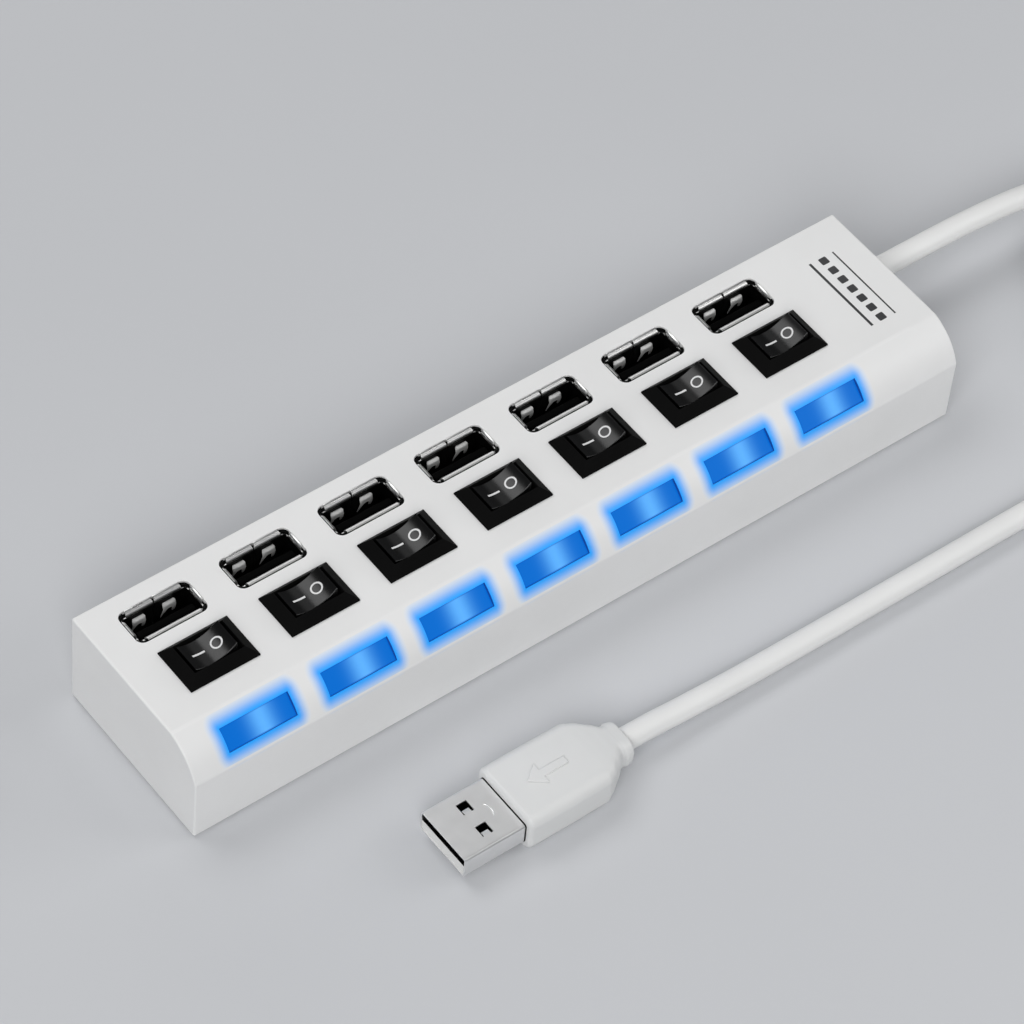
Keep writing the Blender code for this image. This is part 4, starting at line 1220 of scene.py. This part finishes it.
def arc_groove(centre, radius, depth):
    """A cutter for a shallow curved dent, deepest at its middle, in the face above or below the centre."""
    rings = []
    steps = 12
    for i in range(steps + 1):
        angle = radians(-48 + 96 * i / steps)
        out = Vector((cos(angle), sin(angle), 0.0))
        taper = depth * (0.35 + 0.65 * cos(angle * 1.6))
        rings.append([centre + out * (radius + a) + Vector((0.0, 0.0, b)) for a, b in circle(taper, 12)])
    return rings


def window_tab(centre_x, edge_y):
    """The strip that was cut from a window and folded down along the window's outer edge."""
    half, reach, thick = 0.7 * MM, 1.1 * MM, 0.25 * MM
    high, low = PLUG_HIGH.z - 0.2 * MM, PLUG_HIGH.z - 0.4 * MM
    section = [(edge_y, high), (edge_y + reach, low), (edge_y + reach, low - thick), (edge_y, high - thick)]
    return along_x(section, centre_x - half, centre_x + half)


def make_plug_shell():
    """The folded shell with its windows and their tabs, a dent on top and the seam underneath."""
    low, high = PLUG_LOW, PLUG_HIGH
    window = (2.1 * MM, 2.3 * MM)
    outline = rounded_rectangle(*window, 0.12 * MM, 2)
    window_x = low.x + 6.3 * MM
    windows, tabs = [], []
    for side in (-1, 1):
        window_y = PLUG_Y + side * 2.6 * MM
        for bottom, top in ((PLUG_Z, 2 * PLUG_Z), (0.5 * MM, PLUG_Z - 1.2 * MM)):
            windows.append(upright(outline, bottom, top, (window_x, window_y)))
        tabs.append(window_tab(window_x, window_y - window[1] / 2))
    dent = arc_groove(Vector((low.x + 7.6 * MM, PLUG_Y, high.z + 0.02 * MM)), 2.1 * MM, 0.16 * MM)
    seam = box((low.x - MM, PLUG_Y - 0.05 * MM, low.z - MM),
               (PLUG_REAR + MM, PLUG_Y + 0.05 * MM, low.z + 0.12 * MM))
    tube = plug_tube(plug_outline(), plug_outline(-PLUG_WALL, 0.28 * MM), low.x, PLUG_REAR)
    return [
        make_piece("plug_case", tube, "plug_metal", "steel", ["plug_shell"], rounding=(0.08 * MM, 2, 50),
                   cutters=[windows, [dent], [seam]], sharp=35.0),
        make_piece("plug_tabs", lofted(*tabs), "plug_metal", "steel", rounding=(0.05 * MM, 2, 50)),
    ]


def make_plug_inside():
    """A black ring round the shell where the grip begins, as painted shadow, and the insulator: light front
    edge, a black body as painted shade inside the plug, and contacts.
    """
    shadow_ring_front = GRIP_SECTIONS[0][0] - GRIP_FRONT_ROUND - 0.22 * MM
    # Painted shadow: a thin black ring on the shell just in front of the grip
    gap = plug_tube(plug_outline(0.08 * MM, 0.63 * MM), plug_outline(), shadow_ring_front, shadow_ring_front + 0.6 * MM)
    low, high = PLUG_LOW, PLUG_HIGH
    tongue_low, tongue_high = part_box("plug_tongue")
    floor = low.z + PLUG_WALL
    nose_back, nose_top = low.x + 0.3 * MM, PLUG_Z - 0.1 * MM
    nose = box((low.x + 0.15 * MM, low.y + PLUG_WALL, floor), (nose_back, high.y - PLUG_WALL, nose_top))
    insert = box((nose_back, tongue_low.y, floor), (PLUG_REAR, tongue_high.y, tongue_high.z))
    contacts = [box((low.x + 2.2 * MM, PLUG_Y + y - CONTACT_HALF, tongue_high.z - 0.1 * MM),
                    (low.x + 4.6 * MM, PLUG_Y + y + CONTACT_HALF, tongue_high.z + 0.08 * MM))
                for y in CONTACT_PLACES]
    return [
        make_piece("plug_shadow_ring", gap, "black_collar_and_shade", "contact_block"),
        make_piece("plug_nose", lofted(nose), "insert", "insert", rounding=(0.05 * MM, 2, 40)),
        # Painted shade: the insulator's body behind its light front edge is black
        make_piece("plug_insert", lofted(insert), "contact_block", "insert", ["plug_tongue"],
                   rounding=(0.15 * MM, 2, 40)),
        make_piece("plug_contacts", lofted(*contacts), "gold", "steel", rounding=(0.05 * MM, 2, 40)),
    ]


def make_cord():
    cable = make_cable()
    on_it = [make_bush(), make_tie(), *make_grip(), *make_plug_shell(), *make_plug_inside()]


# -------- the whole scene


make_camera()
make_stage()
make_cord()
make_case()
make_top_print()
make_ports()
make_switches()
make_windows()
make_inside_and_underside()
